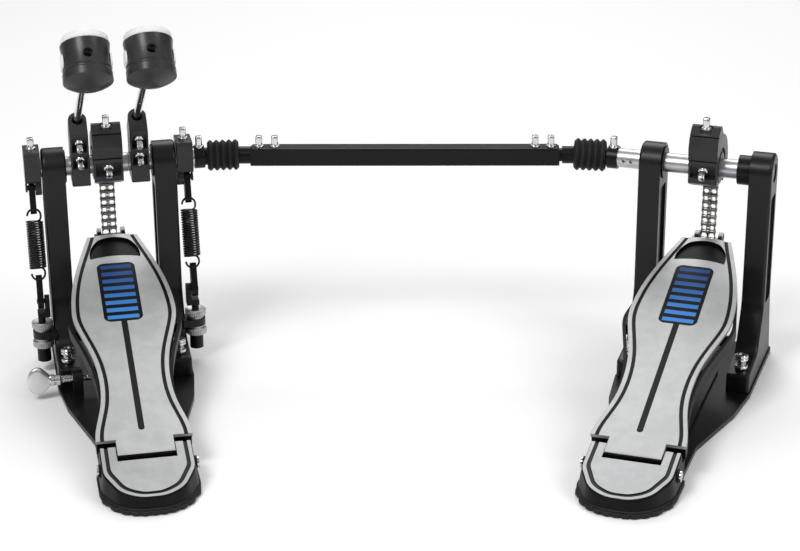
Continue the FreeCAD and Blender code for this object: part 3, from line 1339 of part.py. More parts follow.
def spring_path():
    """Arcs of the spring: upper hook, coil and lower hook, down the z axis from the rocker's pin."""
    top = HANGER_REACH
    bottom = eye_depth() - EYE_REACH
    turns = spring_turns()
    length = SPRING_PITCH * turns
    start = (top + bottom) / 2 - length / 2
    hook = SPRING_RADIUS * HOOK_SHARE
    hook_top = V(0, 0, top + HOOK_SEAT)
    hook_centre = hook_top + V(0, 0, hook)
    upper_end = V(-hook, 0, hook_centre.z)
    upper_start = V(hook, 0, hook_centre.z)
    arcs = [Part.Arc(upper_end, hook_top, upper_start)]
    point, tangent = coil_point(HOOK_LEAD_SHARE, start)
    arcs += biarc(upper_start, Z_AXIS, point, tangent)
    steps = round((turns - 2 * HOOK_LEAD_SHARE) * 2)
    span = (turns - 2 * HOOK_LEAD_SHARE) / steps
    for index in range(steps):
        following, following_tangent = coil_point(HOOK_LEAD_SHARE + span * (index + 1), start)
        arcs += biarc(point, tangent, following, following_tangent)
        point, tangent = following, following_tangent
    hook_low = V(0, 0, bottom - HOOK_SEAT)
    lower_centre = hook_low - V(0, 0, hook)
    lower_start = V(hook, 0, lower_centre.z)
    lower_end = V(-hook, 0, lower_centre.z)
    arcs += biarc(point, tangent, lower_start, Z_AXIS)
    arcs.append(Part.Arc(lower_start, hook_low, lower_end))
    return arcs


def spring(side):
    """Extension spring: one unbroken wire with an open hook at each end."""
    arcs = spring_path()
    wire = Part.Wire([arc.toShape() for arc in arcs])
    first = arcs[0]
    start = first.value(first.FirstParameter)
    direction = first.tangent(first.FirstParameter)[0]
    profile = Part.Wire([Part.Circle(start, direction, SPRING_WIRE_RADIUS).toShape()])
    solid = wire.makePipeShell([profile], True, False)
    print("least gap between the spring's curls", round(least_curl_gap(arcs), 3))
    solid.Placement = spring_frame(side)
    return solid


def least_curl_gap(arcs):
    """Least distance between the wire's surfaces on different curls, measured on points."""
    points = []
    travel = 0.0
    for arc in arcs:
        for index in range(4):
            share = arc.FirstParameter + (arc.LastParameter - arc.FirstParameter) * index / 4
            point = arc.value(share)
            if points:
                travel += (point - points[-1][1]).Length
            points.append((travel, point))
    least = None
    for first in range(len(points)):
        for second in range(first + 1, len(points)):
            if points[second][0] - points[first][0] < 2 * SPRING_RADIUS:
                continue
            gap = (points[second][1] - points[first][1]).Length - 2 * SPRING_WIRE_RADIUS
            if least is None or gap < least:
                least = gap
    return least


def tension_bolt(side):
    """Tension bolt: an open yoke with the spring's pin on top of a rod with a round end cap."""
    centre = spring_x(side)
    y = -TENSION_SETBACK
    pin_height = YOKE_PIN_HEIGHT
    gap = LINK_WIDTH / 2 + YOKE_GAP
    inner = centre - side * gap
    arm_outer = inner - side * YOKE_ARM
    low, high = sorted((inner, arm_outer))
    floor = pin_height - YOKE_DROP
    rise = pin_height + YOKE_HALF
    arm = side_slab(
        [
            (y - YOKE_HALF, floor - YOKE_BASE),
            (y - YOKE_HALF, rise),
            (y + YOKE_HALF, rise),
            (y + YOKE_HALF, floor - YOKE_BASE),
        ],
        [0, YOKE_HALF * CROWN_SHARE, YOKE_HALF * CROWN_SHARE, 0],
        low,
        high,
    )
    far = centre + side * gap
    low, high = sorted((arm_outer, far))
    base = block(V(low, y - YOKE_HALF, floor - YOKE_BASE), V(high, y + YOKE_HALF, floor))
    low, high = sorted((inner, far))
    pin = bar_x(low, high, YOKE_PIN_RADIUS, y, pin_height)
    bottom = LUG_BOTTOM - NUT_HEIGHT
    stem = rod(V(centre, y, bottom), V(centre, y, floor - YOKE_BASE), TENSION_ROD_RADIUS)
    cap = rod(V(centre, y, bottom - CAP_LENGTH), V(centre, y, bottom), CAP_RADIUS)
    return arm.fuse([base, pin, stem, cap]).removeSplitter()


def tension_nuts(side):
    """Two knurled nuts that clamp a tension bolt in its lug."""
    centre = spring_x(side)
    nuts = []
    for bottom in (LUG_BOTTOM + LUG_HEIGHT, LUG_BOTTOM - NUT_HEIGHT):
        foot = V(centre, -TENSION_SETBACK, bottom)
        ring = []
        for index in range(2 * NUT_RIDGES):
            angle = math.pi * index / NUT_RIDGES
            radius = NUT_RADIUS - NUT_KNURL * (index % 2)
            ring.append(foot + V(math.cos(angle), math.sin(angle), 0) * radius)
        nut = Part.Face(Part.makePolygon(ring + ring[:1])).extrude(V(0, 0, NUT_HEIGHT))
        nuts.append(nut.cut(Part.makeCylinder(TENSION_ROD_RADIUS + SEAT_GAP, NUT_HEIGHT, foot)))
    return nuts


def main_axle():
    """Main axle with a reduced spigot that runs inside the drive axle."""
    left = -(ROCKER_INNER + ROCKER_WIDTH)
    axle = bar_x(left, AXLE_SPLIT, AXLE_RADIUS, 0, AXLE_HEIGHT)
    return axle.fuse(bar_x(AXLE_SPLIT, AXLE_SPLIT + SPIGOT_LENGTH, SPIGOT_RADIUS, 0, AXLE_HEIGHT))


def drive_axle():
    """Hollow-ended drive axle on the main pedal."""
    start = AXLE_SPLIT + SPLIT_GAP
    end = MAIN_REACH - FORK_HUB_START - FORK_HUB_LENGTH
    axle = bar_x(start, end, AXLE_RADIUS, 0, AXLE_HEIGHT)
    depth = AXLE_SPLIT + SPIGOT_LENGTH + SPLIT_GAP
    axle = axle.cut(bar_x(start - OVERRUN, depth, SPIGOT_RADIUS + RUN_GAP, 0, AXLE_HEIGHT))
    return axle.cut(bar_x(end - FORK_SPIGOT, end + OVERRUN, FORK_SPIGOT_RADIUS + SEAT_GAP, 0, AXLE_HEIGHT))


def slave_axle():
    """Slave axle with two cross holes in its free end."""
    start = -SLAVE_REACH + FORK_HUB_START + FORK_HUB_LENGTH
    end = TOWER_INNER + TOWER_WIDTH - BEARING_LIP
    axle = bar_x(start, end, AXLE_RADIUS, 0, AXLE_HEIGHT)
    seat = bar_x(start - OVERRUN, start + FORK_SPIGOT, FORK_SPIGOT_RADIUS + SEAT_GAP, 0, AXLE_HEIGHT)
    axle = axle.cut(seat)
    for index in (1, 2):
        place = start + CROSS_HOLE_PITCH * index
        mouth = V(place, -AXLE_RADIUS - OVERRUN, AXLE_HEIGHT)
        axle = axle.cut(rod(mouth, mouth + V(0, AXLE_RADIUS / 2, 0), CROSS_HOLE_RADIUS))
    return axle


def fork(hub):
    """Universal joint fork, drawn with its shaft towards -x, ears along z and the joint at the origin."""
    ears = []
    for side in (-1, 1):
        low, high = sorted((side * FORK_EAR_INNER, side * FORK_EAR_RADIUS))
        outline = [
            (-FORK_THROAT - OVERRUN, -FORK_EAR_HALF),
            (FORK_EAR_HALF, -FORK_EAR_HALF),
            (FORK_EAR_HALF, FORK_EAR_HALF),
            (-FORK_THROAT - OVERRUN, FORK_EAR_HALF),
        ]
        radii = [0, FORK_EAR_HALF * CROWN_SHARE, FORK_EAR_HALF * CROWN_SHARE, 0]
        ears.append(plan_slab(outline, radii, low, high))
    limit = bar_x(-FORK_THROAT * 2, FORK_THROAT, FORK_EAR_RADIUS, 0, 0)
    shoulder = bar_x(-FORK_HUB_START, -FORK_THROAT, FORK_RADIUS, 0, 0)
    solid = shoulder.fuse([ear.common(limit) for ear in ears])
    return solid.fuse(hub)


def axle_fork(reach_sign):
    """Fork on an axle's end, with a key-bolted hub and a spigot inside the axle."""
    start = -FORK_HUB_START - FORK_HUB_LENGTH
    hub = bar_x(start, -FORK_HUB_START, FORK_HUB_RADIUS, 0, 0)
    hub = hub.fuse(bar_x(start - FORK_SPIGOT, start, FORK_SPIGOT_RADIUS, 0, 0))
    solid = fork(hub)
    hole = CROSS_PIN_RADIUS + RUN_GAP
    solid = solid.cut(rod(V(0, 0, -FORK_EAR_RADIUS * 2), V(0, 0, FORK_EAR_RADIUS * 2), hole))
    seat = V(-FORK_HUB_START - FORK_HUB_LENGTH / 2, 0, FORK_HUB_RADIUS - KEY_FLANGE / 2)
    solid = solid.cut(Part.makeCylinder(KEY_FLANGE_RADIUS + RUN_GAP, FORK_HUB_RADIUS, seat))
    if reach_sign < 0:
        solid = turned(solid, V(0, 0, 0), Z_AXIS, 180)
    return solid


def stub_fork(length, radius):
    """Fork on the link shaft's side: ears along y, with a long stub."""
    start = -FORK_HUB_START
    hub = bar_x(start - length, start, radius, 0, 0)
    hub = hub.fuse(bar_x(-TUBE_START, start, FORK_RADIUS, 0, 0))
    solid = turned(fork(hub), V(0, 0, 0), X_AXIS, 90)
    hole = CROSS_PIN_RADIUS + CROSS_LOOSE
    return solid.cut(rod(V(0, -FORK_EAR_RADIUS * 2, 0), V(0, FORK_EAR_RADIUS * 2, 0), hole))


def joint_cross(bend):
    """Universal joint cross; its second pair of pins is square to the link shaft."""
    core = block(V(-CROSS_THICKNESS, -CROSS_HALF, -CROSS_HALF), V(CROSS_THICKNESS, CROSS_HALF, CROSS_HALF))
    upright = rod(V(0, 0, -CROSS_PIN_HALF), V(0, 0, CROSS_PIN_HALF), CROSS_PIN_RADIUS)
    level = rod(V(0, -CROSS_PIN_HALF, 0), V(0, CROSS_PIN_HALF, 0), CROSS_PIN_RADIUS)
    solid = core.fuse([upright, level]).removeSplitter()
    return turned(solid, V(0, 0, 0), Z_AXIS, bend)


def boot(bend):
    """Ribbed rubber boot along x, with a bore that clears both forks at the joint's bend."""
    half_bend = math.radians(abs(bend) / 2)
    ears = FORK_EAR_RADIUS / math.cos(half_bend) + (FORK_THROAT + OVERRUN) * math.tan(half_bend)
    bore = ears + BOOT_GAP
    valley = bore + BOOT_WALL
    ridge = bore + BOOT_RIB_HEIGHT
    span = 2 * BOOT_HALF
    rib = span / BOOT_RIBS
    land = rib * BOOT_LAND_SHARE
    circles = []
    for index in range(BOOT_RIBS):
        start = -BOOT_HALF + rib * index
        crest = start + rib / 2
        circles.append((start, valley))
        circles.append((crest - land, ridge))
        circles.append((crest + land, ridge))
        circles.append((start + rib - land, valley))
    circles.append((BOOT_HALF, valley))
    wires = [Part.Wire([Part.Circle(V(x, 0, 0), X_AXIS, radius).toShape()]) for x, radius in circles]
    body = Part.makeLoft(wires, True, True)
    return body.cut(bar_x(-span, span, bore, 0, 0))


def drive_tube():
    """Square link tube with a round bore and notched ends, from the main joint along x."""
    start = TUBE_START
    end = SHAFT_SPAN - TUBE_END
    half = TUBE_SQUARE / 2
    outline = [(-half, -half), (-half, half), (half, half), (half, -half)]
    tube = side_slab(outline, [TUBE_ROUND] * len(outline), start, end)
    tube = tube.cut(bar_x(start - OVERRUN, end + OVERRUN, TUBE_BORE, 0, 0))
    for place in (start, end):
        low = V(place, -TUBE_SQUARE, half)
        tube = tube.cut(rod(low, low + V(0, 2 * TUBE_SQUARE, 0), TUBE_NOTCH_RADIUS / 2))
    return tube


def tube_screws():
    """Four key bolts that clamp the stub and the sliding rod in the tube."""
    bolts = []
    for place in TUBE_SCREW_PLACES:
        bolts.append(key_bolt(V(TUBE_START + place, 0, TUBE_SQUARE / 2), Z_AXIS))
        bolts.append(key_bolt(V(SHAFT_SPAN - TUBE_END - place, 0, TUBE_SQUARE / 2), Z_AXIS))
    return Part.Compound(bolts)


def holder_bolts(centre):
    """Two key bolts in the pockets of a beater holder."""
    bolts = []
    for height in HOLDER_SCREWS:
        seat = V(centre, -HOLDER_FRONT + SCREW_POCKET_DEPTH, AXLE_HEIGHT + height)
        bolts.append(key_bolt(seat, V(0, -1, 0)))
    return bolts


def cam_bolts():
    """Key bolts of a cam: one on the top facet, one on the lower block."""
    front = [(CAM_FRONT * y, CAM_TOP * z) for y, z in zip(CAM_DEPTH_SHARES, CAM_HEIGHT_SHARES)]
    bolts = []
    for first, second in ((1, 2), (5, 6)):
        start = V(CAM_CENTRE, *front[first])
        end = V(CAM_CENTRE, *front[second])
        run = end - start
        normal = V(0, run.z, -run.y).normalize()
        bolts.append(key_bolt((start + end) * (1 / 2) + V(0, 0, AXLE_HEIGHT), normal))
    return bolts


def rocker_bolt(side):
    """Key bolt on top of a spring rocker."""
    place = side * (ROCKER_INNER + ROCKER_WIDTH / 2)
    return key_bolt(V(place, 0, AXLE_HEIGHT + ROCKER_TOP), Z_AXIS)


def hub_bolt(place):
    """Key bolt on a fork's hub."""
    return key_bolt(V(place, 0, AXLE_HEIGHT + FORK_HUB_RADIUS - KEY_FLANGE / 2), Z_AXIS)


def toe_pivot():
    """Chain's end pin seen from the footboard's hinge, in the footboard's own frame."""
    end = chain_points()[-1]
    run = end.y + HINGE_SETBACK
    rise = end.z + AXLE_HEIGHT - HINGE_HEIGHT
    slope = math.radians(BOARD_SLOPE)
    along = run * math.cos(slope) + rise * math.sin(slope)
    above = rise * math.cos(slope) - run * math.sin(slope)
    return along, above


def laid_footboard():
    """Footboard on its hinge, at its resting slope, in line with the cam."""
    along, above = toe_pivot()
    board = footboard(along, above)
    board.rotate(V(0, 0, 0), X_AXIS, BOARD_SLOPE)
    return shifted(board, V(0, -HINGE_SETBACK, HINGE_HEIGHT))


def pedal_pieces(name, clamp):
    """Pieces that both pedals have, by node name."""
    pieces = {
        name + "_base_plate": base_plate(clamp),
        name + "_heel_block": heel_block(),
        name + "_heel_pad": heel_pad(),
        name + "_hinge_pin": hinge_pin(),
        name + "_spurs": spur_bolts(),
        name + "_footboard": laid_footboard(),
        name + "_cam": cam(),
        name + "_chain_bend": chain_bend(),
        name + "_chain_run": chain_run(),
    }
    return pieces


def spring_pieces(name, side):
    """Rocker, links and spring on one side of the main pedal."""
    return {
        name + "_rocker": rocker(side),
        name + "_spring_hanger": spring_hanger(side),
        name + "_spring": spring(side),
        name + "_spring_eye": spring_eye(side),
    }


def beater_pieces(name, centre):
    """Holder, rod, head and felt of one beater."""
    return {
        name + "_beater_holder": holder(centre),
        name + "_beater_rod": beater_rod(centre),
        name + "_beater_head": beater_head(centre),
        name + "_beater_felt": beater_felt(centre),
    }


def main_pedal():
    """All pieces of the main pedal in its own frame, the drive axle's included."""
    pieces = pedal_pieces("main", True)
    pieces["main_tower_left"] = tower(-1, True)
    pieces["main_tower_right"] = tower(1, True)
    pieces["main_bearings"] = Part.Compound([bearing(-1, False), bearing(1, False)])
    pieces["tension_bolts"] = Part.Compound([tension_bolt(-1), tension_bolt(1)])
    pieces["tension_nuts"] = Part.Compound(tension_nuts(-1) + tension_nuts(1))
    pieces["hoop_clamp_jaw"] = hoop_clamp_jaw()
    pieces["hoop_clamp_screw"] = hoop_clamp_screw()
    pieces.update(beater_pieces("main", HOLDER_LEFT))
    pieces.update(beater_pieces("drive", HOLDER_RIGHT))
    pieces.update(spring_pieces("main", -1))
    pieces.update(spring_pieces("drive", 1))
    pieces["main_axle"] = main_axle()
    pieces["main_axle_screws"] = Part.Compound(holder_bolts(HOLDER_LEFT) + cam_bolts() + [rocker_bolt(-1)])
    pieces["drive_axle"] = drive_axle()
    hub = MAIN_REACH - FORK_HUB_START - FORK_HUB_LENGTH / 2
    pieces["drive_axle_screws"] = Part.Compound(holder_bolts(HOLDER_RIGHT) + [rocker_bolt(1), hub_bolt(hub)])
    joint = V(MAIN_REACH, 0, AXLE_HEIGHT)
    pieces["drive_axle_yoke"] = shifted(axle_fork(1), joint)
    pieces["main_cross"] = shifted(joint_cross(-MAIN_YAW), joint)
    pieces["main_boot"] = shifted(turned(boot(MAIN_YAW), V(0, 0, 0), Z_AXIS, -MAIN_YAW / 2), joint)
    return pieces


def slave_pedal():
    """All pieces of the slave pedal in its own frame."""
    pieces = pedal_pieces("slave", False)
    pieces["slave_tower_left"] = tower(-1, False)
    pieces["slave_tower_right"] = tower(1, False)
    pieces["slave_bearings"] = Part.Compound([bearing(-1, False), bearing(1, True)])
    pieces["slave_axle"] = slave_axle()
    hub = -SLAVE_REACH + FORK_HUB_START + FORK_HUB_LENGTH / 2
    pieces["slave_axle_screws"] = Part.Compound(cam_bolts() + [hub_bolt(hub)])
    joint = V(-SLAVE_REACH, 0, AXLE_HEIGHT)
    pieces["slave_axle_yoke"] = shifted(axle_fork(-1), joint)
    pieces["slave_cross"] = shifted(joint_cross(-SLAVE_YAW), joint)
    pieces["slave_boot"] = shifted(turned(boot(SLAVE_YAW), V(0, 0, 0), Z_AXIS, -SLAVE_YAW / 2), joint)
    return pieces


def link_shaft():
    """Pieces of the link shaft, drawn along x from the main universal joint."""
    main_stub = turned(stub_fork(STUB_SEAT, TUBE_BORE - SEAT_GAP), V(0, 0, 0), Z_AXIS, 180)
    slave_stub = shifted(stub_fork(SLIDE_ROD, TUBE_BORE - RUN_GAP), V(SHAFT_SPAN, 0, 0))
    return {
        "main_stub_yoke": main_stub,
        "drive_tube": drive_tube(),
        "drive_tube_screws": tube_screws(),
        "slave_stub_yoke": slave_stub,
    }


def placed(pieces, yaw, place):
    """Pieces of a pedal, turned about the upright and moved to their place."""
    result = {}
    for name, shape in pieces.items():
        copy = shape.copy()
        copy.Placement = FreeCAD.Placement(place, FreeCAD.Rotation(Z_AXIS, yaw)).multiply(copy.Placement)
        result[name] = copy
    return result


def whole_pedal():
    """Every node of the double pedal in the shared frame."""
    main_turn = math.radians(MAIN_YAW)
    slave_turn = math.radians(SLAVE_YAW)
    main_joint = V(math.cos(main_turn), math.sin(main_turn), 0) * MAIN_REACH
    slave_joint = main_joint + V(SHAFT_SPAN, 0, 0)
    slave_place = slave_joint + V(math.cos(slave_turn), math.sin(slave_turn), 0) * SLAVE_REACH
    nodes = placed(main_pedal(), MAIN_YAW, V(0, 0, 0))
    nodes.update(placed(link_shaft(), 0, main_joint + V(0, 0, AXLE_HEIGHT)))
    nodes.update(placed(slave_pedal(), SLAVE_YAW, slave_place))
    return nodes


os.makedirs("parts", exist_ok=True)
for node_name, node_shape in whole_pedal().items():
    node_shape.exportStep(os.path.join("parts", node_name + ".step"))
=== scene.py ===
"""Looks of a double bass drum pedal: finishes, soft and fine pieces, studio light and camera."""

import json
import logging
import math
from dataclasses import dataclass
from enum import Enum
from typing import Any, Optional, Sequence, Union

import bmesh
import bpy
from mathutils import Matrix, Vector, noise

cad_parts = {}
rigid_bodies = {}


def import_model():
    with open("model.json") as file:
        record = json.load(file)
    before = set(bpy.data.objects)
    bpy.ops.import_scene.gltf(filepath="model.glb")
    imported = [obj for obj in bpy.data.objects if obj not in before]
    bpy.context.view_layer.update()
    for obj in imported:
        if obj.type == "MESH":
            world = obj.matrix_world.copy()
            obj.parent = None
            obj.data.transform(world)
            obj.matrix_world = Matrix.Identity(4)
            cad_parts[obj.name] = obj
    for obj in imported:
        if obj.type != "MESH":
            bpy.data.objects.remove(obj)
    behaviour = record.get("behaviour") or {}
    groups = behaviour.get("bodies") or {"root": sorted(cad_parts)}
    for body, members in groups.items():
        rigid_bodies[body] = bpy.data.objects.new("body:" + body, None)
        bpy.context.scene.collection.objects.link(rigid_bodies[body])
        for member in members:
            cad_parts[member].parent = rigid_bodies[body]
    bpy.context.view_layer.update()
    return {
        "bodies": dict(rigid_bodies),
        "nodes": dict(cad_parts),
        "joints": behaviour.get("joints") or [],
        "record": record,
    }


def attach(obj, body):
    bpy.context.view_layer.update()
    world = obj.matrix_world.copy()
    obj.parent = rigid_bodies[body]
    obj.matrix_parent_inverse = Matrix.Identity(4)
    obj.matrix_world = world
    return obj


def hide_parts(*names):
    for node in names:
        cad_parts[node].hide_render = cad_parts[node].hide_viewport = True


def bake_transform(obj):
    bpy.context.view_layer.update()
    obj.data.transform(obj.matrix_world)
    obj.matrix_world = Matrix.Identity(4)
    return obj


LOG = logging.getLogger("double_pedal")
FINE_DETAIL = 4.0
BEVEL_SAMPLES = 4

Colour = tuple[float, float, float]
Place = Sequence[float]
Flat = tuple[float, float]
Seat = tuple[Vector, Vector]
Triple = tuple[float, float, float]


@dataclass(frozen=True)
class PedalFrame:
    """Frame of one pedal: x along its axle, y towards the drum, z up from the floor.

    Attributes:
        name: First word of the pedal's node names.
        yaw: Turn about the upright, in degrees.
        x: Place of the axle's middle along the link shaft.
        y: Place of the axle's middle towards the drum.
    """

    name: str
    yaw: float
    x: float
    y: float

    def matrix(self) -> Matrix:
        """Matrix from the pedal's frame to the shared frame."""
        return Matrix.Translation((self.x, self.y, 0)) @ Matrix.Rotation(math.radians(self.yaw), 4, "Z")

    def across(self, x: "Num", y: "Num") -> "Num":
        """Distance of a surface's place from the axle's middle, along the axle."""
        turn = math.radians(self.yaw)
        return (x - self.x) * math.cos(turn) + (y - self.y) * math.sin(turn)

    def ahead(self, x: "Num", y: "Num") -> "Num":
        """Distance of a surface's place from the axle, towards the drum."""
        turn = math.radians(self.yaw)
        return (y - self.y) * math.cos(turn) - (x - self.x) * math.sin(turn)


@dataclass(frozen=True)
class Layout:
    """Where the two pedals stand and where the link shaft's joints are, in metres."""

    main_yaw: float = 12.6
    slave_yaw: float = -17.8
    main_reach: float = 0.0944
    slave_reach: float = 0.0983
    shaft_span: float = 0.3028
    axle_height: float = 0.1675
    cam_centre: float = -0.001
    spring_x: float = 0.0632
    spring_setback: float = 0.027

    def main(self) -> PedalFrame:
        """Frame of the main pedal."""
        return PedalFrame("main", self.main_yaw, 0.0, 0.0)

    def main_joint(self) -> Vector:
        """Centre of the universal joint at the main pedal."""
        turn = math.radians(self.main_yaw)
        along = Vector((math.cos(turn), math.sin(turn), 0))
        return along * self.main_reach + Vector((0, 0, self.axle_height))

    def slave_joint(self) -> Vector:
        """Centre of the universal joint at the slave pedal."""
        return self.main_joint() + Vector((self.shaft_span, 0, 0))

    def slave(self) -> PedalFrame:
        """Frame of the slave pedal."""
        turn = math.radians(self.slave_yaw)
        joint = self.slave_joint()
        x = joint.x + math.cos(turn) * self.slave_reach
        y = joint.y + math.sin(turn) * self.slave_reach
        return PedalFrame("slave", self.slave_yaw, x, y)


LAYOUT = Layout()
MAIN = LAYOUT.main()
SLAVE = LAYOUT.slave()
UP = Vector((0, 0, 1))
RIGHT = Vector((1, 0, 0))


class Num:
    """Number in a node tree that takes part in Python expressions by adding Math nodes."""

    def __init__(self, shader: "Nodes", socket: bpy.types.NodeSocket) -> None:
        """Wrap an output socket of a node tree."""
        self.shader = shader
        self.socket = socket

    def __add__(self, other: "Scalar") -> "Num":
        """Sum."""
        return self.shader.math("ADD", self, other)

    __radd__ = __add__

    def __sub__(self, other: "Scalar") -> "Num":
        """Difference."""
        return self.shader.math("SUBTRACT", self, other)

    def __rsub__(self, other: "Scalar") -> "Num":
        """Difference with the plain number first."""
        return self.shader.math("SUBTRACT", other, self)

    def __mul__(self, other: "Scalar") -> "Num":
        """Product, which is also the meeting of two masks."""
        return self.shader.math("MULTIPLY", self, other)

    __rmul__ = __mul__

    def __truediv__(self, other: "Scalar") -> "Num":
        """Quotient."""
        return self.shader.math("DIVIDE", self, other)

    def __abs__(self) -> "Num":
        """Size without sign."""
        return self.shader.math("ABSOLUTE", self, 0.0)

    def __gt__(self, other: "Scalar") -> "Num":
        """Mask that is 1 where this is greater."""
        return self.shader.math("GREATER_THAN", self, other)

    def __lt__(self, other: "Scalar") -> "Num":
        """Mask that is 1 where this is less."""
        return self.shader.math("LESS_THAN", self, other)

    def __or__(self, other: "Scalar") -> "Num":
        """Larger of two values, which is also the union of two masks."""
        return self.shader.math("MAXIMUM", self, other)

    def fade(self, start: float, end: float) -> "Num":
        """Smooth step from 0 at start to 1 at end."""
        node = self.shader.add(
            "ShaderNodeMapRange",
            {"interpolation_type": "SMOOTHSTEP"},
            {"Value": self, "From Min": start, "From Max": end, "To Min": 0.0, "To Max": 1.0},
        )
        return Num(self.shader, node.outputs[0])


Scalar = Union[Num, float]


class Nodes:
    """Node tree and short ways to add nodes to it."""

    def __init__(self, tree: bpy.types.NodeTree) -> None:
        """Start on a tree that has only its first nodes."""
        self.tree = tree
        self._coordinates: Optional[bpy.types.Node] = None

    def add(self, kind: str, settings: dict[str, Any], inputs: dict[Any, Any]) -> bpy.types.Node:
        """Add one node.

        Args:
            kind: Type of the node.
            settings: Attributes to set first.
            inputs: Values, numbers or sockets by the name or number of the node's sockets.

        Returns:
            The new node.
        """
        node = self.tree.nodes.new(kind)
        for key, value in settings.items():
            setattr(node, key, value)
        for key, value in inputs.items():
            self.feed(node.inputs[key], value)
        return node

    def feed(self, socket: bpy.types.NodeSocket, value: Any) -> None:
        """Link a number or socket to an input, or set a plain value on it."""
        if isinstance(value, Num):
            self.tree.links.new(value.socket, socket)
        elif isinstance(value, bpy.types.NodeSocket):
            self.tree.links.new(value, socket)
        elif isinstance(value, tuple) and socket.type == "RGBA":
            socket.default_value = (*value, 1.0)
        else:
            socket.default_value = value

    def math(self, operation: str, first: Scalar, second: Scalar) -> Num:
        """Number from a Math node."""
        node = self.add("ShaderNodeMath", {"operation": operation}, {0: first, 1: second})
        return Num(self, node.outputs[0])

    def mix(self, factor: Scalar, first: Any, second: Any) -> bpy.types.NodeSocket:
        """Colour between two colours."""
        node = self.add("ShaderNodeMix", {"data_type": "RGBA"}, {0: factor, 6: first, 7: second})
        return node.outputs[2]

    def coordinates(self) -> bpy.types.Node:
        """Texture coordinates, added once."""
        if self._coordinates is None:
            self._coordinates = self.add("ShaderNodeTexCoord", {}, {})
        return self._coordinates

    def parts(self, socket: bpy.types.NodeSocket) -> tuple[Num, Num, Num]:
        """Three numbers of a vector."""
        node = self.add("ShaderNodeSeparateXYZ", {}, {0: socket})
        return Num(self, node.outputs[0]), Num(self, node.outputs[1]), Num(self, node.outputs[2])


class Shader(Nodes):
    """Material with a Principled shader."""

    def __init__(self, name: str) -> None:
        """Start an empty material.

        Args:
            name: Name of the material.
        """
        self.material = bpy.data.materials.new(name)
        self.material.use_nodes = True
        super().__init__(self.material.node_tree)
        self.surface = self.tree.nodes["Principled BSDF"]

    def set(self, **inputs: Any) -> None:
        """Feed sockets of the surface shader, with spaces in their names as underscores."""
        for key, value in inputs.items():
            self.feed(self.surface.inputs[key.replace("_", " ")], value)

    def place(self) -> tuple[Num, Num, Num]:
        """Place on the surface in the shared frame, in metres."""
        return self.parts(self.coordinates().outputs["Object"])

    def facing(self, direction: Vector) -> Num:
        """How far the surface faces a direction, from -1 to 1."""
        normal = self.coordinates().outputs["Normal"]
        inputs = {0: normal, 1: tuple(direction)}
        node = self.add("ShaderNodeVectorMath", {"operation": "DOT_PRODUCT"}, inputs)
        return Num(self, node.outputs["Value"])

    def noise(self, scale: float, detail: float = 3.0, stretch: Colour = (1.0, 1.0, 1.0)) -> Num:
        """Noise over the surface.

        Args:
            scale: Cells in a metre.
            detail: Octaves of finer noise.
            stretch: Factor on the scale along each axis.

        Returns:
            Noise between 0 and 1.
        """
        source = self.coordinates().outputs["Object"]
        scaled = self.add("ShaderNodeVectorMath", {"operation": "MULTIPLY"}, {0: source, 1: stretch})
        inputs = {"Vector": scaled.outputs[0], "Scale": scale, "Detail": detail}
        return Num(self, self.add("ShaderNodeTexNoise", {}, inputs).outputs["Fac"])

    def bump(self, height: Num, distance: float, strength: float = 1.0, edge: float = 0.0) -> None:
        """Raise the surface by a height in metres of distance, with edges rounded by a radius."""
        inputs: dict[str, Any] = {"Height": height, "Distance": distance, "Strength": strength}
        if edge > 0:
            bevel = self.add("ShaderNodeBevel", {"samples": BEVEL_SAMPLES}, {"Radius": edge})
            inputs["Normal"] = bevel.outputs[0]
        node = self.add("ShaderNodeBump", {}, inputs)
        self.feed(self.surface.inputs["Normal"], node.outputs[0])


def shade(colour: Colour, factor: float) -> Colour:
    """Colour made lighter or darker by a factor."""
    return (colour[0] * factor, colour[1] * factor, colour[2] * factor)


@dataclass(frozen=True)
class CastPaint:
    """Satin paint on a casting, with a fine grain and slightly uneven gloss."""

    name: str
    colour: Colour
    roughness: float = 0.35
    grain: float = 900.0
    depth: float = 0.00006
    specular: float = 0.3
    edge: float = 0.0006
    cloud_scale: float = 38.0
    cloud_span: Flat = (0.3, 0.75)
    cloud_dark: float = 0.82
    cloud_light: float = 1.25
    cloud_gloss: float = 0.16
    grain_gloss: float = 0.08

    def material(self) -> bpy.types.Material:
        """Build the finish."""
        shader = Shader(self.name)
        fine = shader.noise(self.grain, FINE_DETAIL)
        cloud = shader.noise(self.cloud_scale)
        dark, light = shade(self.colour, self.cloud_dark), shade(self.colour, self.cloud_light)
        gloss = (cloud - 0.5) * self.cloud_gloss + (fine - 0.5) * self.grain_gloss
        shader.set(Base_Color=shader.mix(cloud.fade(*self.cloud_span), dark, light))
        shader.set(Roughness=gloss + self.roughness, Specular_IOR_Level=self.specular)
        shader.bump(fine, self.depth, 1.0, self.edge)
        return shader.material


class Brush(Enum):
    """Direction in which a metal was finished."""

    PLAIN = (1.0, 1.0, 1.0)
    ROUND_SHAFT = (8.0, 0.1, 0.1)


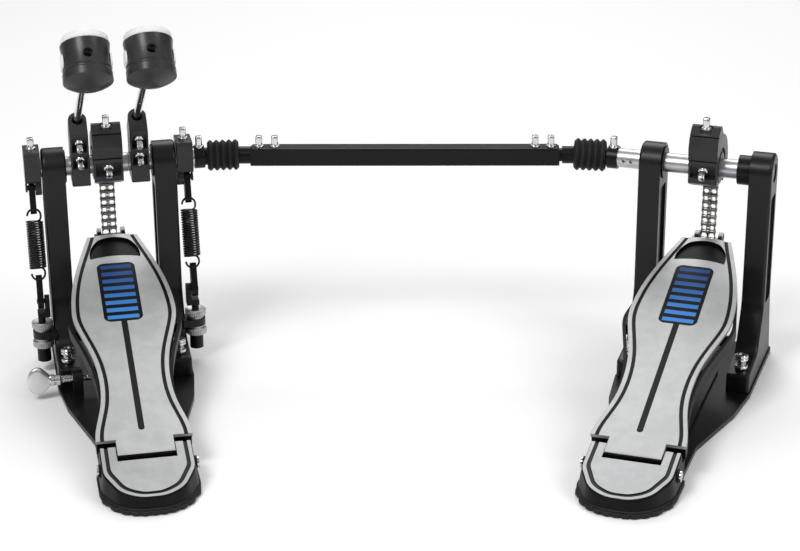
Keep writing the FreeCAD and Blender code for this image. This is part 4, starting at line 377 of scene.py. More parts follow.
@dataclass(frozen=True)
class BareMetal:
    """Bare or plated metal with fine tool marks."""

    name: str
    colour: Colour
    roughness: float
    marks: float
    brush: Brush = Brush.PLAIN
    edge: float = 0.0003
    mark_scale: float = 1400.0
    mark_depth: float = 0.00002
    mark_strength: float = 0.4
    cloud_scale: float = 60.0
    cloud_detail: float = 2.0
    cloud_span: Flat = (0.3, 0.7)
    cloud_dark: float = 0.9

    def material(self) -> bpy.types.Material:
        """Build the finish."""
        shader = Shader(self.name)
        lines = shader.noise(self.mark_scale, stretch=self.brush.value)
        cloud = shader.noise(self.cloud_scale, self.cloud_detail)
        dark = shade(self.colour, self.cloud_dark)
        gloss = (lines - 0.5) * self.marks * 2 + (cloud - 0.5) * self.marks
        shader.set(Base_Color=shader.mix(cloud.fade(*self.cloud_span), dark, self.colour))
        shader.set(Metallic=1.0, Roughness=gloss + self.roughness)
        shader.bump(lines, self.mark_depth, self.mark_strength, self.edge)
        return shader.material


@dataclass(frozen=True)
class MouldedRubber:
    """Dull moulded rubber with a dusty bloom."""

    name: str
    colour: Colour
    roughness: float = 0.62
    specular: float = 0.34
    grain: float = 1600.0
    depth: float = 0.00008
    grain_gloss: float = 0.1
    bloom_scale: float = 70.0
    bloom_span: Flat = (0.45, 0.8)
    bloom_light: float = 1.7
    bloom_dull: float = 0.12

    def material(self) -> bpy.types.Material:
        """Build the finish."""
        shader = Shader(self.name)
        fine = shader.noise(self.grain, FINE_DETAIL)
        bloom = shader.noise(self.bloom_scale, FINE_DETAIL).fade(*self.bloom_span)
        gloss = bloom * self.bloom_dull + (fine - 0.5) * self.grain_gloss
        shader.set(Base_Color=shader.mix(bloom, self.colour, shade(self.colour, self.bloom_light)))
        shader.set(Roughness=gloss + self.roughness, Specular_IOR_Level=self.specular)
        shader.bump(fine, self.depth)
        return shader.material


@dataclass(frozen=True)
class PressedFelt:
    """Light pressed felt with short matted fibres."""

    name: str
    colour: Colour
    fibre_scale: float = 2200.0
    fibre_detail: float = 6.0
    matting_scale: float = 420.0
    matting_detail: float = 5.0
    tone_span: Flat = (0.3, 0.7)
    dark: float = 0.84
    depth: float = 0.0005

    def material(self) -> bpy.types.Material:
        """Build the finish."""
        shader = Shader(self.name)
        fibres = shader.noise(self.fibre_scale, self.fibre_detail)
        matting = shader.noise(self.matting_scale, self.matting_detail)
        tone = (fibres + matting) * 0.5
        dark = shade(self.colour, self.dark)
        shader.set(Base_Color=shader.mix(tone.fade(*self.tone_span), dark, self.colour))
        shader.set(Roughness=0.92, Specular_IOR_Level=0.15, Sheen_Weight=0.35, Sheen_Roughness=0.6)
        shader.bump(tone, self.depth)
        return shader.material


@dataclass(frozen=True)
class SatinSilver:
    """Satin silver plate beside black paint, as on the footboards and heels.

    Attributes:
        colour: Colour of the bright plate.
        dark: Factor on the colour where it is dull.
        specular: Strength of the paint's shine.
        grain: Cells of the fine grain in a metre.
        depth: Depth of the grain.
    """

    colour: Colour
    dark: float
    specular: float
    grain: float
    depth: float
    paint: Colour = (0.0025, 0.0025, 0.0027)
    metallic: float = 0.5
    roughness: float = 0.46
    paint_gloss: float = 0.04
    grain_gloss: float = 0.1
    cloud_gloss: float = 0.12
    cloud_scale: float = 34.0
    speck_scale: float = 120.0
    speck_share: float = 0.4
    cloud_span: Flat = (0.36, 0.64)
    edge: float = 0.0004

    def cloud(self, shader: Shader) -> Num:
        """Soft unevenness of the plate."""
        cloud = shader.noise(self.cloud_scale) * (1 - self.speck_share)
        return cloud + shader.noise(self.speck_scale, FINE_DETAIL) * self.speck_share

    def plate(self, shader: Shader, cloud: Num) -> bpy.types.NodeSocket:
        """Colour of the plate under its unevenness."""
        return shader.mix(cloud.fade(*self.cloud_span), shade(self.colour, self.dark), self.colour)

    def finish(self, shader: Shader, colour: bpy.types.NodeSocket, painted: Num, cloud: Num) -> None:
        """Set the surface.

        Args:
            shader: Material under way.
            colour: Colour of plate and paint.
            painted: Mask of the paint.
            cloud: Unevenness of the plate.
        """
        fine = shader.noise(self.grain, FINE_DETAIL)
        gloss = (fine - 0.5) * self.grain_gloss + (cloud - 0.5) * self.cloud_gloss
        shader.set(Base_Color=colour, Metallic=(1 - painted) * self.metallic)
        shader.set(Roughness=self.roughness - painted * self.paint_gloss + gloss)
        shader.set(Specular_IOR_Level=self.specular)
        shader.bump(fine, self.depth, 1.0, self.edge)


@dataclass(frozen=True)
class BoardTop:
    """Footboard: satin silver plate, black grooves and casting, and a plain black and blue inlay.

    Attributes:
        frame: Pedal that the board belongs to.
    """

    frame: PedalFrame
    silver: SatinSilver = SatinSilver((0.48, 0.484, 0.488), 0.86, 0.12, 1500.0, 0.00003)
    blue: Colour = (0.05, 0.23, 0.62)
    deep_blue: Colour = (0.01, 0.05, 0.19)
    slope: float = 16.3
    hinge_setback: float = 0.2525
    hinge_height: float = 0.015
    top: float = 0.0087
    plate: float = 0.003
    groove_rim: float = 0.0003
    tongue_end: float = 0.012
    toe_panel: float = 0.2445
    strip_half: float = 0.0024
    strip_start: float = 0.034
    strip_end: float = 0.17
    panel_half: float = 0.0155
    panel_middle: float = 0.2
    panel_length: float = 0.076
    panel_round: float = 0.006
    bar_pitch: float = 0.0094
    bar_half: float = 0.0025
    level: float = 0.7
    flat: float = 0.9
    toe_facing: float = 0.02

    def flat_place(self, shader: Shader) -> tuple[Num, Num, Num]:
        """Place on the board: across, along from the hinge and above the hinge."""
        x, y, z = shader.place()
        slope = math.radians(self.slope)
        ahead = self.frame.ahead(x, y) + self.hinge_setback
        rise = z - self.hinge_height
        along = ahead * math.cos(slope) + rise * math.sin(slope)
        above = rise * math.cos(slope) - ahead * math.sin(slope)
        return self.frame.across(x, y) - LAYOUT.cam_centre, along, above

    def turned(self, lean: float) -> Vector:
        """Unit vector in the board's side view, from straight up at 0 to the heel at 90 degrees."""
        angle = math.radians(self.slope + lean)
        flat = Vector((0, -math.sin(angle), math.cos(angle)))
        return Matrix.Rotation(math.radians(self.frame.yaw), 3, "Z") @ flat

    def inlay(self, across: Num, along: Num) -> tuple[Num, Num]:
        """Masks of the plain inlay.

        Args:
            across: Place across the board.
            along: Place along the board.

        Returns:
            Mask of the black ground and mask of the blue bars on it.
        """
        shader = across.shader
        side = abs(across)
        from_middle = abs(along - self.panel_middle)
        over_side = (side - (self.panel_half - self.panel_round)) | 0.0
        over_end = (from_middle - (self.panel_length / 2 - self.panel_round)) | 0.0
        panel = (over_side * over_side + over_end * over_end) < self.panel_round**2
        over_strip = (self.strip_start - along) | 0.0
        strip = ((side * side + over_strip * over_strip) < self.strip_half**2) * (along < self.strip_end)
        wave = shader.math("PINGPONG", along - self.panel_middle, self.bar_pitch)
        margin = self.panel_round / 2
        bars = (abs(wave - self.bar_pitch / 2) < self.bar_half) * (side < self.panel_half - margin)
        bars = bars * (from_middle < self.panel_length / 2 - margin)
        return panel | strip, bars

    def material(self) -> bpy.types.Material:
        """Build the finish."""
        shader = Shader(self.frame.name + " board")
        across, along, above = self.flat_place(shader)
        upright = shader.facing(self.turned(0))
        level, steep = upright > self.level, upright < self.flat
        groove = (above < self.top - self.groove_rim) * level
        casting = above < self.top - self.plate + self.groove_rim / 2
        toe_wall = (along > self.toe_panel) * steep * (shader.facing(self.turned(90)) > self.toe_facing)
        black = groove | casting | toe_wall | ((along < self.tongue_end) * steep)
        ground, bars = self.inlay(across, along)
        ground = ground * level * (above > self.top - self.groove_rim)
        climb = (along - (self.panel_middle - self.panel_length / 2)) / self.panel_length
        paint = self.silver.paint
        inlaid = shader.mix(bars, paint, shader.mix(climb.fade(0.0, 1.0), self.blue, self.deep_blue))
        cloud = self.silver.cloud(shader)
        colour = shader.mix(ground, self.silver.plate(shader, cloud), inlaid)
        colour = shader.mix(black, colour, paint)
        self.silver.finish(shader, colour, black | ground, cloud)
        return shader.material


@dataclass(frozen=True)
class HeelTop:
    """Heel block: silver plate with a black border line over a dark casting."""

    frame: PedalFrame
    silver: SatinSilver = SatinSilver((0.42, 0.424, 0.428), 0.84, 0.16, 1300.0, 0.00004)
    casting: Colour = (0.007, 0.007, 0.0075)
    casting_dark: float = 0.8
    start: float = 0.2374
    front: float = 0.2975
    top: float = 0.0245
    drop: float = 0.0131
    plate: float = 0.0016
    groove_rim: float = 0.0003
    level: float = 0.7

    def material(self) -> bpy.types.Material:
        """Build the finish."""
        shader = Shader(self.frame.name + " heel")
        x, y, z = shader.place()
        setback = 0 - self.frame.ahead(x, y)
        fall = (setback - self.start) * (self.drop / (self.front - self.start))
        above = z - self.top + fall
        level = shader.facing(UP) > self.level
        silvered = (above > self.plate - self.groove_rim) * level
        groove = (above > 0.0) * level * (1 - silvered)
        cloud = self.silver.cloud(shader)
        casting = shader.mix(cloud, shade(self.casting, self.casting_dark), self.casting)
        dark = shader.mix(groove, casting, self.silver.paint)
        colour = shader.mix(silvered, dark, self.silver.plate(shader, cloud))
        self.silver.finish(shader, colour, 1 - silvered, cloud)
        return shader.material


def turn_steps(count: int) -> list[Flat]:
    """Cosine and sine of even steps round one turn."""
    angles = [2 * math.pi * step / count for step in range(count)]
    return [(math.cos(angle), math.sin(angle)) for angle in angles]


def pin(radius: float, low: float, high: float, rim: float = 0.0) -> list[Flat]:
    """Half section of a cylinder, with chamfered rims if they have a width."""
    if rim == 0:
        return [(0, low), (radius, low), (radius, high), (0, high)]
    inner = radius - rim
    return [(0, low), (inner, low), (radius, low + rim), (radius, high - rim), (inner, high), (0, high)]


def smooth(data: bpy.types.Mesh, sharp: float) -> None:
    """Shade a mesh smooth, apart from edges past an angle in degrees."""
    data.shade_smooth()
    data.set_sharp_from_angle(angle=math.radians(sharp))


def hang(piece: bpy.types.Object, body: str, node: str) -> None:
    """Hang a piece on a body in place of a node.

    Args:
        piece: Finished piece.
        body: Body that it rides on.
        node: Node that it stands for.
    """
    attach(piece, body)
    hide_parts(node)
    LOG.info("%s: %d faces", piece.name, len(piece.data.polygons))


class Form:
    """Mesh under way, in metres, that ends as one object."""

    def __init__(self) -> None:
        """Start empty."""
        self.mesh = bmesh.new()

    def bridge(self, lower: Sequence[Any], upper: Sequence[Any]) -> None:
        """Join two rings of points; a ring of one point is a tip."""
        count = max(len(lower), len(upper))
        for index in range(count):
            following = (index + 1) % count
            corners = [
                lower[index % len(lower)],
                lower[following % len(lower)],
                upper[following % len(upper)],
                upper[index % len(upper)],
            ]
            unique = list(dict.fromkeys(corners))
            if len(unique) > 2:
                self.mesh.faces.new(unique)

    def loft(self, rings: Sequence[Sequence[Vector]], capped: bool = True) -> None:
        """Skin through rings of points.

        Args:
            rings: Rings with as many points each, or one point for a tip.
            capped: Whether the first and last ring are closed by a face.
        """
        points = [[self.mesh.verts.new(point) for point in ring] for ring in rings]
        for lower, upper in zip(points, points[1:]):
            self.bridge(lower, upper)
        if capped and len(points[0]) > 2:
            self.mesh.faces.new(list(reversed(points[0])))
        if capped and len(points[-1]) > 2:
            self.mesh.faces.new(points[-1])

    def lathe(self, profile: Sequence[Flat], place: Matrix, segments: int = 48) -> None:
        """Turned form.

        Args:
            profile: Places of (radius, height) along the form's axis.
            place: Matrix that lays the form's z axis.
            segments: Steps in one turn.
        """
        rings = []
        for radius, height in profile:
            steps = turn_steps(segments if radius > 0 else 1)
            rings.append([place @ Vector((radius * x, radius * y, height)) for x, y in steps])
        self.loft(rings)

    def tube(self, path: Sequence[Vector], radius: float, sides: int = 12) -> None:
        """Round wire along a path, with its ring carried along without twist."""
        rings = []
        side = None
        for index, point in enumerate(path):
            ahead = path[min(index + 1, len(path) - 1)] - path[max(index - 1, 0)]
            ahead.normalize()
            if side is None:
                side = ahead.orthogonal()
            side = (side - ahead * side.dot(ahead)).normalized()
            other = ahead.cross(side)
            rings.append([point + (side * x + other * y) * radius for x, y in turn_steps(sides)])
        self.loft(rings)

    def slab(self, outline: Sequence[Flat], low: float, high: float, rim: float, place: Matrix) -> None:
        """Flat form over an outline with chamfered rims.

        Args:
            outline: Places of (x, y), counter-clockwise.
            low: Bottom along z.
            high: Top along z.
            rim: Width and height of the chamfers.
            place: Matrix that lays the form.
        """
        inner = inset(outline, rim)
        rings = []
        for points, height in ((inner, low), (outline, low + rim), (outline, high - rim), (inner, high)):
            rings.append([place @ Vector((x, y, height)) for x, y in points])
        self.loft(rings)

    def done(self, name: str, material: bpy.types.Material, sharp: float = 35.0) -> bpy.types.Object:
        """End the mesh as an object.

        Args:
            name: Name of the object.
            material: Finish of the whole piece.
            sharp: Angle in degrees past which edges stay sharp.

        Returns:
            The object, linked to the scene.
        """
        bmesh.ops.recalc_face_normals(self.mesh, faces=self.mesh.faces[:])
        data = bpy.data.meshes.new(name)
        self.mesh.to_mesh(data)
        self.mesh.free()
        smooth(data, sharp)
        data.materials.append(material)
        piece = bpy.data.objects.new(name, data)
        bpy.context.scene.collection.objects.link(piece)
        return piece


def inset(outline: Sequence[Flat], step: float, sharpest: float = 0.3) -> list[Flat]:
    """Move a counter-clockwise outline inwards.

    Args:
        outline: Places of (x, y).
        step: Distance of the move.
        sharpest: Least cosine of half a corner's turn, which keeps sharp corners near.

    Returns:
        Points of the moved outline.
    """
    moved = []
    count = len(outline)
    for index in range(count):
        here = Vector(outline[index])
        before = (here - Vector(outline[index - 1])).normalized()
        after = (Vector(outline[(index + 1) % count]) - here).normalized()
        normal = Vector((-(before + after).y, (before + after).x)).normalized()
        reach = step / max(sharpest, normal.dot(Vector((-before.y, before.x))))
        moved.append(tuple(here + normal * reach))
    return moved


def rounded(corners: Sequence[Triple], steps: int = 6) -> list[Flat]:
    """Outline through corners with rounded ones.

    Args:
        corners: Places of (x, y) with the radius of each, counter-clockwise.
        steps: Points on each round.

    Returns:
        Points of the outline.
    """
    points: list[Flat] = []
    count = len(corners)
    for index in range(count):
        here = Vector(corners[index][:2])
        before = (Vector(corners[index - 1][:2]) - here).normalized()
        after = (Vector(corners[(index + 1) % count][:2]) - here).normalized()
        radius = corners[index][2]
        if radius == 0:
            points.append(tuple(here))
            continue
        half = before.angle(after) / 2
        centre = here + (before + after).normalized() * (radius / math.sin(half))
        start = here + before * (radius / math.tan(half)) - centre
        end = here + after * (radius / math.tan(half)) - centre
        turn = start.angle_signed(end)
        for step in range(steps + 1):
            points.append(tuple(centre + Matrix.Rotation(-turn * step / steps, 2) @ start))
    return points


def along_axis(start: Vector, direction: Vector) -> Matrix:
    """Matrix that lays the z axis along a direction from a start."""
    return Matrix.Translation(start) @ direction.to_track_quat("Z", "Y").to_matrix().to_4x4()


def side_view(frame: PedalFrame) -> Matrix:
    """Matrix that lays (x, y, z) as forward, up and along the axle, from the axle's middle."""
    turned = Matrix(((0, 0, 1, 0), (1, 0, 0, 0), (0, 1, 0, 0), (0, 0, 0, 1)))
    return frame.matrix() @ Matrix.Translation((0, 0, LAYOUT.axle_height)) @ turned


class Cut(Enum):
    """What carving a piece with another form leaves."""

    AWAY = "DIFFERENCE"
    SHARED = "INTERSECT"
    JOINED = "UNION"


def carve(piece: bpy.types.Object, tool: Form, cut: Cut, sharp: float = 35.0) -> None:
    """Carve a closed piece with a closed form.

    Args:
        piece: Piece that is changed.
        tool: Form under way, which is used up.
        cut: What is left.
        sharp: Angle in degrees past which edges stay sharp.
    """
    cutter = tool.done("cutter", piece.data.materials[0])
    modifier = piece.modifiers.new("carve", "BOOLEAN")
    modifier.operation = cut.value
    modifier.solver = "EXACT"
    modifier.object = cutter
    graph = bpy.context.evaluated_depsgraph_get()
    data = bpy.data.meshes.new_from_object(piece.evaluated_get(graph))
    piece.modifiers.clear()
    smooth(data, sharp)
    worn = piece.data
    piece.data = data
    bpy.data.meshes.remove(worn)
    bpy.data.objects.remove(cutter)


@dataclass(frozen=True)
class BeaterLine:
    """Line of one beater in the main pedal's frame, from its holder's mouth.

    Attributes:
        name: First word of the beater's node names.
        centre: Place along the axle.
    """

    name: str
    centre: float
    lean: float = 49.0
    side_lean: float = 3.0
    mouth_y: float = -0.004
    mouth_z: float = 0.04

    def rod(self) -> Vector:
        """Direction of the rod."""
        lean = math.radians(self.lean)
        side = math.radians(self.side_lean)
        return Vector((math.sin(side), -math.sin(lean) * math.cos(side), math.cos(lean) * math.cos(side)))

    def strike(self) -> Vector:
        """Direction in which the felt faces."""
        lean = math.radians(self.lean)
        return Vector((0, math.cos(lean), math.sin(lean)))

    def mouth(self) -> Vector:
        """Where the rod leaves its holder."""
        return Vector((self.centre, self.mouth_y, LAYOUT.axle_height + self.mouth_z))


BEATERS = (BeaterLine("main", -0.0232), BeaterLine("drive", 0.025))


@dataclass(frozen=True)
class SlopedSeat:
    """Bolt seat that leans over in a notch, in a pedal's side view.

    Attributes:
        depth: Place of its middle in front of the axle.
        rise: Place of its middle over the axle.
    """

    depth: float
    rise: float
    half: float = 0.006
    lean: float = 30.0
    ledge_fall: float = 0.26

    def facing(self) -> Vector:
        """Direction of the bolt on it."""
        lean = math.radians(self.lean)
        return Vector((0, -math.cos(lean), -math.sin(lean)))

    def middle(self, x: float) -> Vector:
        """Middle of the seat at a place along the axle."""
        return Vector((x, -self.depth, LAYOUT.axle_height + self.rise))

    def notch(self, front: float) -> list[Flat]:
        """Outline of the notch in the side view, out to a front."""
        lean = math.radians(self.lean)
        inner_y = self.half * math.sin(lean) - self.depth
        inner_z = self.rise - self.half * math.cos(lean)
        run = front + inner_y
        top = inner_z + run / math.tan(lean)
        return [(-front, inner_z - run * self.ledge_fall), (inner_y, inner_z), (-front, top)]


HOLDER_SEATS = (SlopedSeat(0.0115, 0.0223), SlopedSeat(0.01175, 0.0083))
CAM_SEAT = SlopedSeat(0.0155, 0.001)
CAM_BOSS = Vector((LAYOUT.cam_centre, -0.0104, LAYOUT.axle_height + 0.035))


class Finishes:
    """All materials of the pedal, made once."""

    def __init__(self) -> None:
        """Make every finish."""
        self.black_casting = CastPaint("black casting", (0.0045, 0.0045, 0.0048)).material()
        # Painted light: a lighter copy of the black casting for the cams, holders and rockers, standing in
        # for the light and reflections their upward and front faces catch.
        self.rotor_casting_with_painted_light = CastPaint("rotor casting with painted light", (0.024, 0.024, 0.0245)).material()
        self.black_steel = CastPaint(
            "black steel", (0.004, 0.004, 0.0043), roughness=0.34, grain=1500.0, depth=0.00003, specular=0.2
        ).material()
        self.spring_wire = CastPaint(
            "spring wire",
            (0.005, 0.005, 0.0053),
            roughness=0.28,
            grain=1800.0,
            depth=0.00002,
            specular=0.4,
            edge=0.0,
        ).material()
        self.turned_steel = BareMetal(
            "turned steel", (0.54, 0.54, 0.545), roughness=0.34, marks=0.1, brush=Brush.ROUND_SHAFT
        ).material()
        self.nut_steel = BareMetal("nut steel", (0.5, 0.5, 0.505), roughness=0.42, marks=0.08).material()
        self.chrome = BareMetal("chrome", (0.66, 0.66, 0.67), roughness=0.12, marks=0.04).material()
        self.chain_steel = BareMetal(
            "chain steel", (0.3, 0.295, 0.285), roughness=0.25, marks=0.08, edge=0.0
        ).material()
        self.rubber = MouldedRubber("rubber", (0.0065, 0.0065, 0.0068)).material()
        self.head_shell = CastPaint(
            "head shell", (0.03, 0.03, 0.0305), roughness=0.3, grain=1300.0, depth=0.00003
        ).material()
        self.felt = PressedFelt("felt", (0.88, 0.87, 0.85)).material()
        self.wing_metal = BareMetal("wing metal", (0.76, 0.76, 0.77), roughness=0.36, marks=0.1).material()


@dataclass
class Chain:
    """Double-strand roller chain of one pedal, from the cam's anchor to the board's toe."""

    frame: PedalFrame
    pitch: float = 0.00635
    step_angle: float = 16.0
    wrap_links: int = 3
    run_links: int = 11
    lean: float = 2.4
    strand_spacing: float = 0.0064
    roller_radius: float = 0.00165
    roller_width: float = 0.0031
    pin_radius: float = 0.0011
    plate: float = 0.0006
    plate_half: float = 0.0027
    waist: float = 0.0007
    gap: float = 0.0001
    middle_plate: float = 0.0015
    end_pin_radius: float = 0.0015
    end_pin_half: float = 0.013
    rim: float = 0.00012
    steps: int = 8
    segments: int = 20

    def points(self) -> list[Vector]:
        """Pins at rest, in the pedal's frame."""
        radius = self.pitch / 2 / math.sin(math.radians(self.step_angle / 2))
        middle = Vector((LAYOUT.cam_centre, 0, LAYOUT.axle_height))
        places = []
        for index in range(self.wrap_links + 1):
            angle = math.radians(self.step_angle * (self.wrap_links - index))
            places.append(middle + Vector((0, math.cos(angle), math.sin(angle))) * radius)
        lean = math.radians(self.lean)
        step = Vector((0, -math.sin(lean), -math.cos(lean))) * self.pitch
        for _ in range(self.run_links):
            places.append(places[-1] + step)
        return places

    def outline(self) -> list[Flat]:
        """Waisted outline of a plate, with x from pin to pin."""
        half = []
        for step in range(2 * self.steps + 1):
            angle = math.pi * (step / (2 * self.steps) - 0.5)
            half.append((self.pitch + self.plate_half * math.cos(angle), self.plate_half * math.sin(angle)))
        for step in range(1, self.steps):
            share = step / self.steps
            dip = self.waist * math.sin(math.pi * share) ** 2
            half.append((self.pitch * (1 - share), self.plate_half - dip))
        return half + [(self.pitch - x, -y) for x, y in half]

    def link_place(self, start: Vector, end: Vector) -> Matrix:
        """Matrix of a link: x from pin to pin and z along the axle."""
        along = (end - start).normalized()
        turn = Matrix((along, RIGHT.cross(along), RIGHT)).transposed().to_4x4()
        return self.frame.matrix() @ Matrix.Translation(start) @ turn

    def rod(self, form: Form, place: Matrix, low: float, high: float, radius: float) -> None:
        """Pin or roller across the links at a link's first pin."""
        rim = min(self.rim * 2, radius / 3)
        form.lathe(pin(radius, low, high, rim), place, self.segments)

    def inner_link(self, form: Form, start: Vector, end: Vector) -> None:
        """Roller link in both strands."""
        half = self.roller_width / 2
        outline = self.outline()
        for middle in (-self.strand_spacing / 2, self.strand_spacing / 2):
            for place in (self.link_place(start, end), self.link_place(end, start)):
                self.rod(form, place, middle - half, middle + half, self.roller_radius)
            place = self.link_place(start, end)
            for low in (middle - half - self.plate, middle + half):
                form.slab(outline, low, low + self.plate, self.rim, place)

    def outer_link(self, form: Form, start: Vector, end: Vector, end_pin: bool) -> None:
        """Pin link over both strands."""
        place = self.link_place(start, end)
        outline = self.outline()
        middle = self.middle_plate / 2
        outside = self.strand_spacing / 2 + self.roller_width / 2 + self.plate + self.gap
        cover = outside + self.plate
        for low, high in ((-middle, middle), (outside, cover), (-cover, -outside)):
            form.slab(outline, low, high, self.rim, place)
        reach = cover + self.gap * 4
        self.rod(form, place, -reach, reach, self.pin_radius)
        if end_pin:
            self.rod(form, self.link_place(end, start), -reach, reach, self.pin_radius)

    def build(self, finishes: Finishes) -> None:
        """Build both rigid stretches and hang them on their bodies."""
        points = self.points()
        bend = Form()
        self.inner_link(bend, points[0], points[1])
        self.outer_link(bend, points[1], points[2], True)
        run = Form()
        for index in range(2, len(points) - 1):
            if index % 2 == 0:
                self.inner_link(run, points[index], points[index + 1])
            else:
                self.outer_link(run, points[index], points[index + 1], index + 2 < len(points))
        half = self.end_pin_half
        self.rod(run, self.link_place(points[-1], points[-2]), -half, half, self.end_pin_radius)
        for form, part in ((bend, "bend"), (run, "run")):
            piece = form.done(f"{self.frame.name}_chain_{part}_links", finishes.chain_steel)
            hang(piece, f"{self.frame.name}_{part}", f"{self.frame.name}_chain_{part}")


@dataclass
class Spring:
    """Extension spring of one beater, hooked between its hanger and its eye."""

    name: str
    side: int
    depth: float = 0.1055
    pin_reach: float = 0.0155
    hanger_reach: float = 0.017
    eye_reach: float = 0.017
    wire_radius: float = 0.00085
    radius: float = 0.0063
    pitch: float = 0.002
    turns: int = 20
    hook_share: float = 0.86
    hook_seat: float = 0.0005
    lead_reach: float = 1.2
    lead_turn: float = 0.25
    steps: int = 28
    sides: int = 10

    def place(self) -> Matrix:
        """Matrix that lays z down the spring from the rocker's pin."""
        down = Vector((0, -LAYOUT.spring_setback, -self.depth)).normalized()
        turn = Matrix((RIGHT, down.cross(RIGHT), down)).transposed().to_4x4()
        start = Vector((self.side * LAYOUT.spring_x, 0, LAYOUT.axle_height)) + down * self.pin_reach
        return MAIN.matrix() @ Matrix.Translation(start) @ turn

    def length(self) -> float:
        """Distance from the rocker's pin to the yoke's pin."""
        return math.hypot(LAYOUT.spring_setback, self.depth) - self.pin_reach

    def hook(self, top: float, rise: int) -> list[Vector]:
        """Open hook from its free end, as a half circle over a place on the axis."""
        radius = self.radius * self.hook_share
        points = []
        for step in range(self.steps + 1):
            angle = math.pi * step / self.steps
            points.append(Vector((-radius * math.cos(angle), 0, top + rise * radius * (1 - math.sin(angle)))))
        return points

    def lead(self, start: Vector, heading: Vector, end: Vector, ending: Vector) -> list[Vector]:
        """Smooth wire between two places with given headings."""
        reach = (end - start).length * self.lead_reach
        points = []
        for step in range(1, self.steps // 2):
            t = step / (self.steps // 2)
            points.append(
                start * (1 - 3 * t * t + 2 * t**3)
                + heading * (reach * (t - 2 * t * t + t**3))
                + end * (3 * t * t - 2 * t**3)
                + ending * (reach * (t**3 - t * t))
            )
        return points

    def path(self) -> list[Vector]:
        """Whole wire: upper hook, coil and lower hook."""
        top = self.hanger_reach + self.hook_seat
        bottom = self.length() - self.eye_reach - self.hook_seat
        first = (top + bottom) / 2 - self.pitch * self.turns / 2
        wound = self.turns - 2 * self.lead_turn
        count = round(wound * self.steps)
        coil = []
        for step in range(count + 1):
            turn = self.lead_turn + wound * step / count
            angle = 2 * math.pi * turn
            across, along = self.radius * math.cos(angle), self.radius * math.sin(angle)
            coil.append(Vector((across, along, first + self.pitch * turn)))
        upper = self.hook(top, 1)
        lower = [Vector((-point.x, 0, point.z)) for point in self.hook(bottom, -1)]
        into = (coil[1] - coil[0]).normalized()
        out = (coil[-1] - coil[-2]).normalized()
        down = Vector((0, 0, 1))
        wire = upper + self.lead(upper[-1], down, coil[0], into) + coil
        return wire + self.lead(coil[-1], out, lower[0], down) + lower

    def build(self, finishes: Finishes) -> None:
        """Build the spring's coil in place between its two links, at rest."""
        place = self.place()
        form = Form()
        form.tube([place @ point for point in self.path()], self.wire_radius, self.sides)
        piece = form.done(f"{self.name}_spring_coil", finishes.spring_wire)
        top = place @ Vector((0, 0, self.hanger_reach + self.radius))
        bottom = place @ Vector((0, 0, self.length() - self.eye_reach - self.radius))
        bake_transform(piece)
        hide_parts(f"{self.name}_spring")
        LOG.info("%s spring: %d faces", self.name, len(piece.data.polygons))


@dataclass
class Boot:
    """Ribbed rubber boot over a universal joint."""

    name: str
    centre: Vector
    bend: float
    half: float = 0.013
    ear_radius: float = 0.0082
    throat: float = 0.011
    gap: float = 0.00025
    wall: float = 0.001
    rib_height: float = 0.002
    rib_power: float = 0.7
    ribs: int = 5
    steps: int = 14
    segments: int = 56

    def bore(self) -> float:
        """Radius that clears the fork's ears at the joint's bend."""
        half = math.radians(abs(self.bend)) / 2
        return self.ear_radius / math.cos(half) + self.throat * math.tan(half) + self.gap

    def build(self, finishes: Finishes) -> None:
        """Build the boot and hang it on its body."""
        span = 2 * self.half
        bore = self.bore()
        profile = [(bore, -self.half)]
        count = self.ribs * self.steps
        for step in range(count + 1):
            share = step / count
            swell = (0.5 - 0.5 * math.cos(2 * math.pi * self.ribs * share)) ** self.rib_power
            profile.append((bore + self.wall + self.rib_height * swell, span * share - self.half))
        profile += [(bore, self.half), (bore, -self.half)]
        turn = math.radians(self.bend) / 2
        axis = Vector((math.cos(turn), math.sin(turn), 0))
        form = Form()
        form.lathe(profile, along_axis(self.centre, axis), self.segments)
        piece = form.done(f"{self.name}_bellows", finishes.rubber)
        hang(piece, f"{self.name}_boot_body", f"{self.name}_boot")


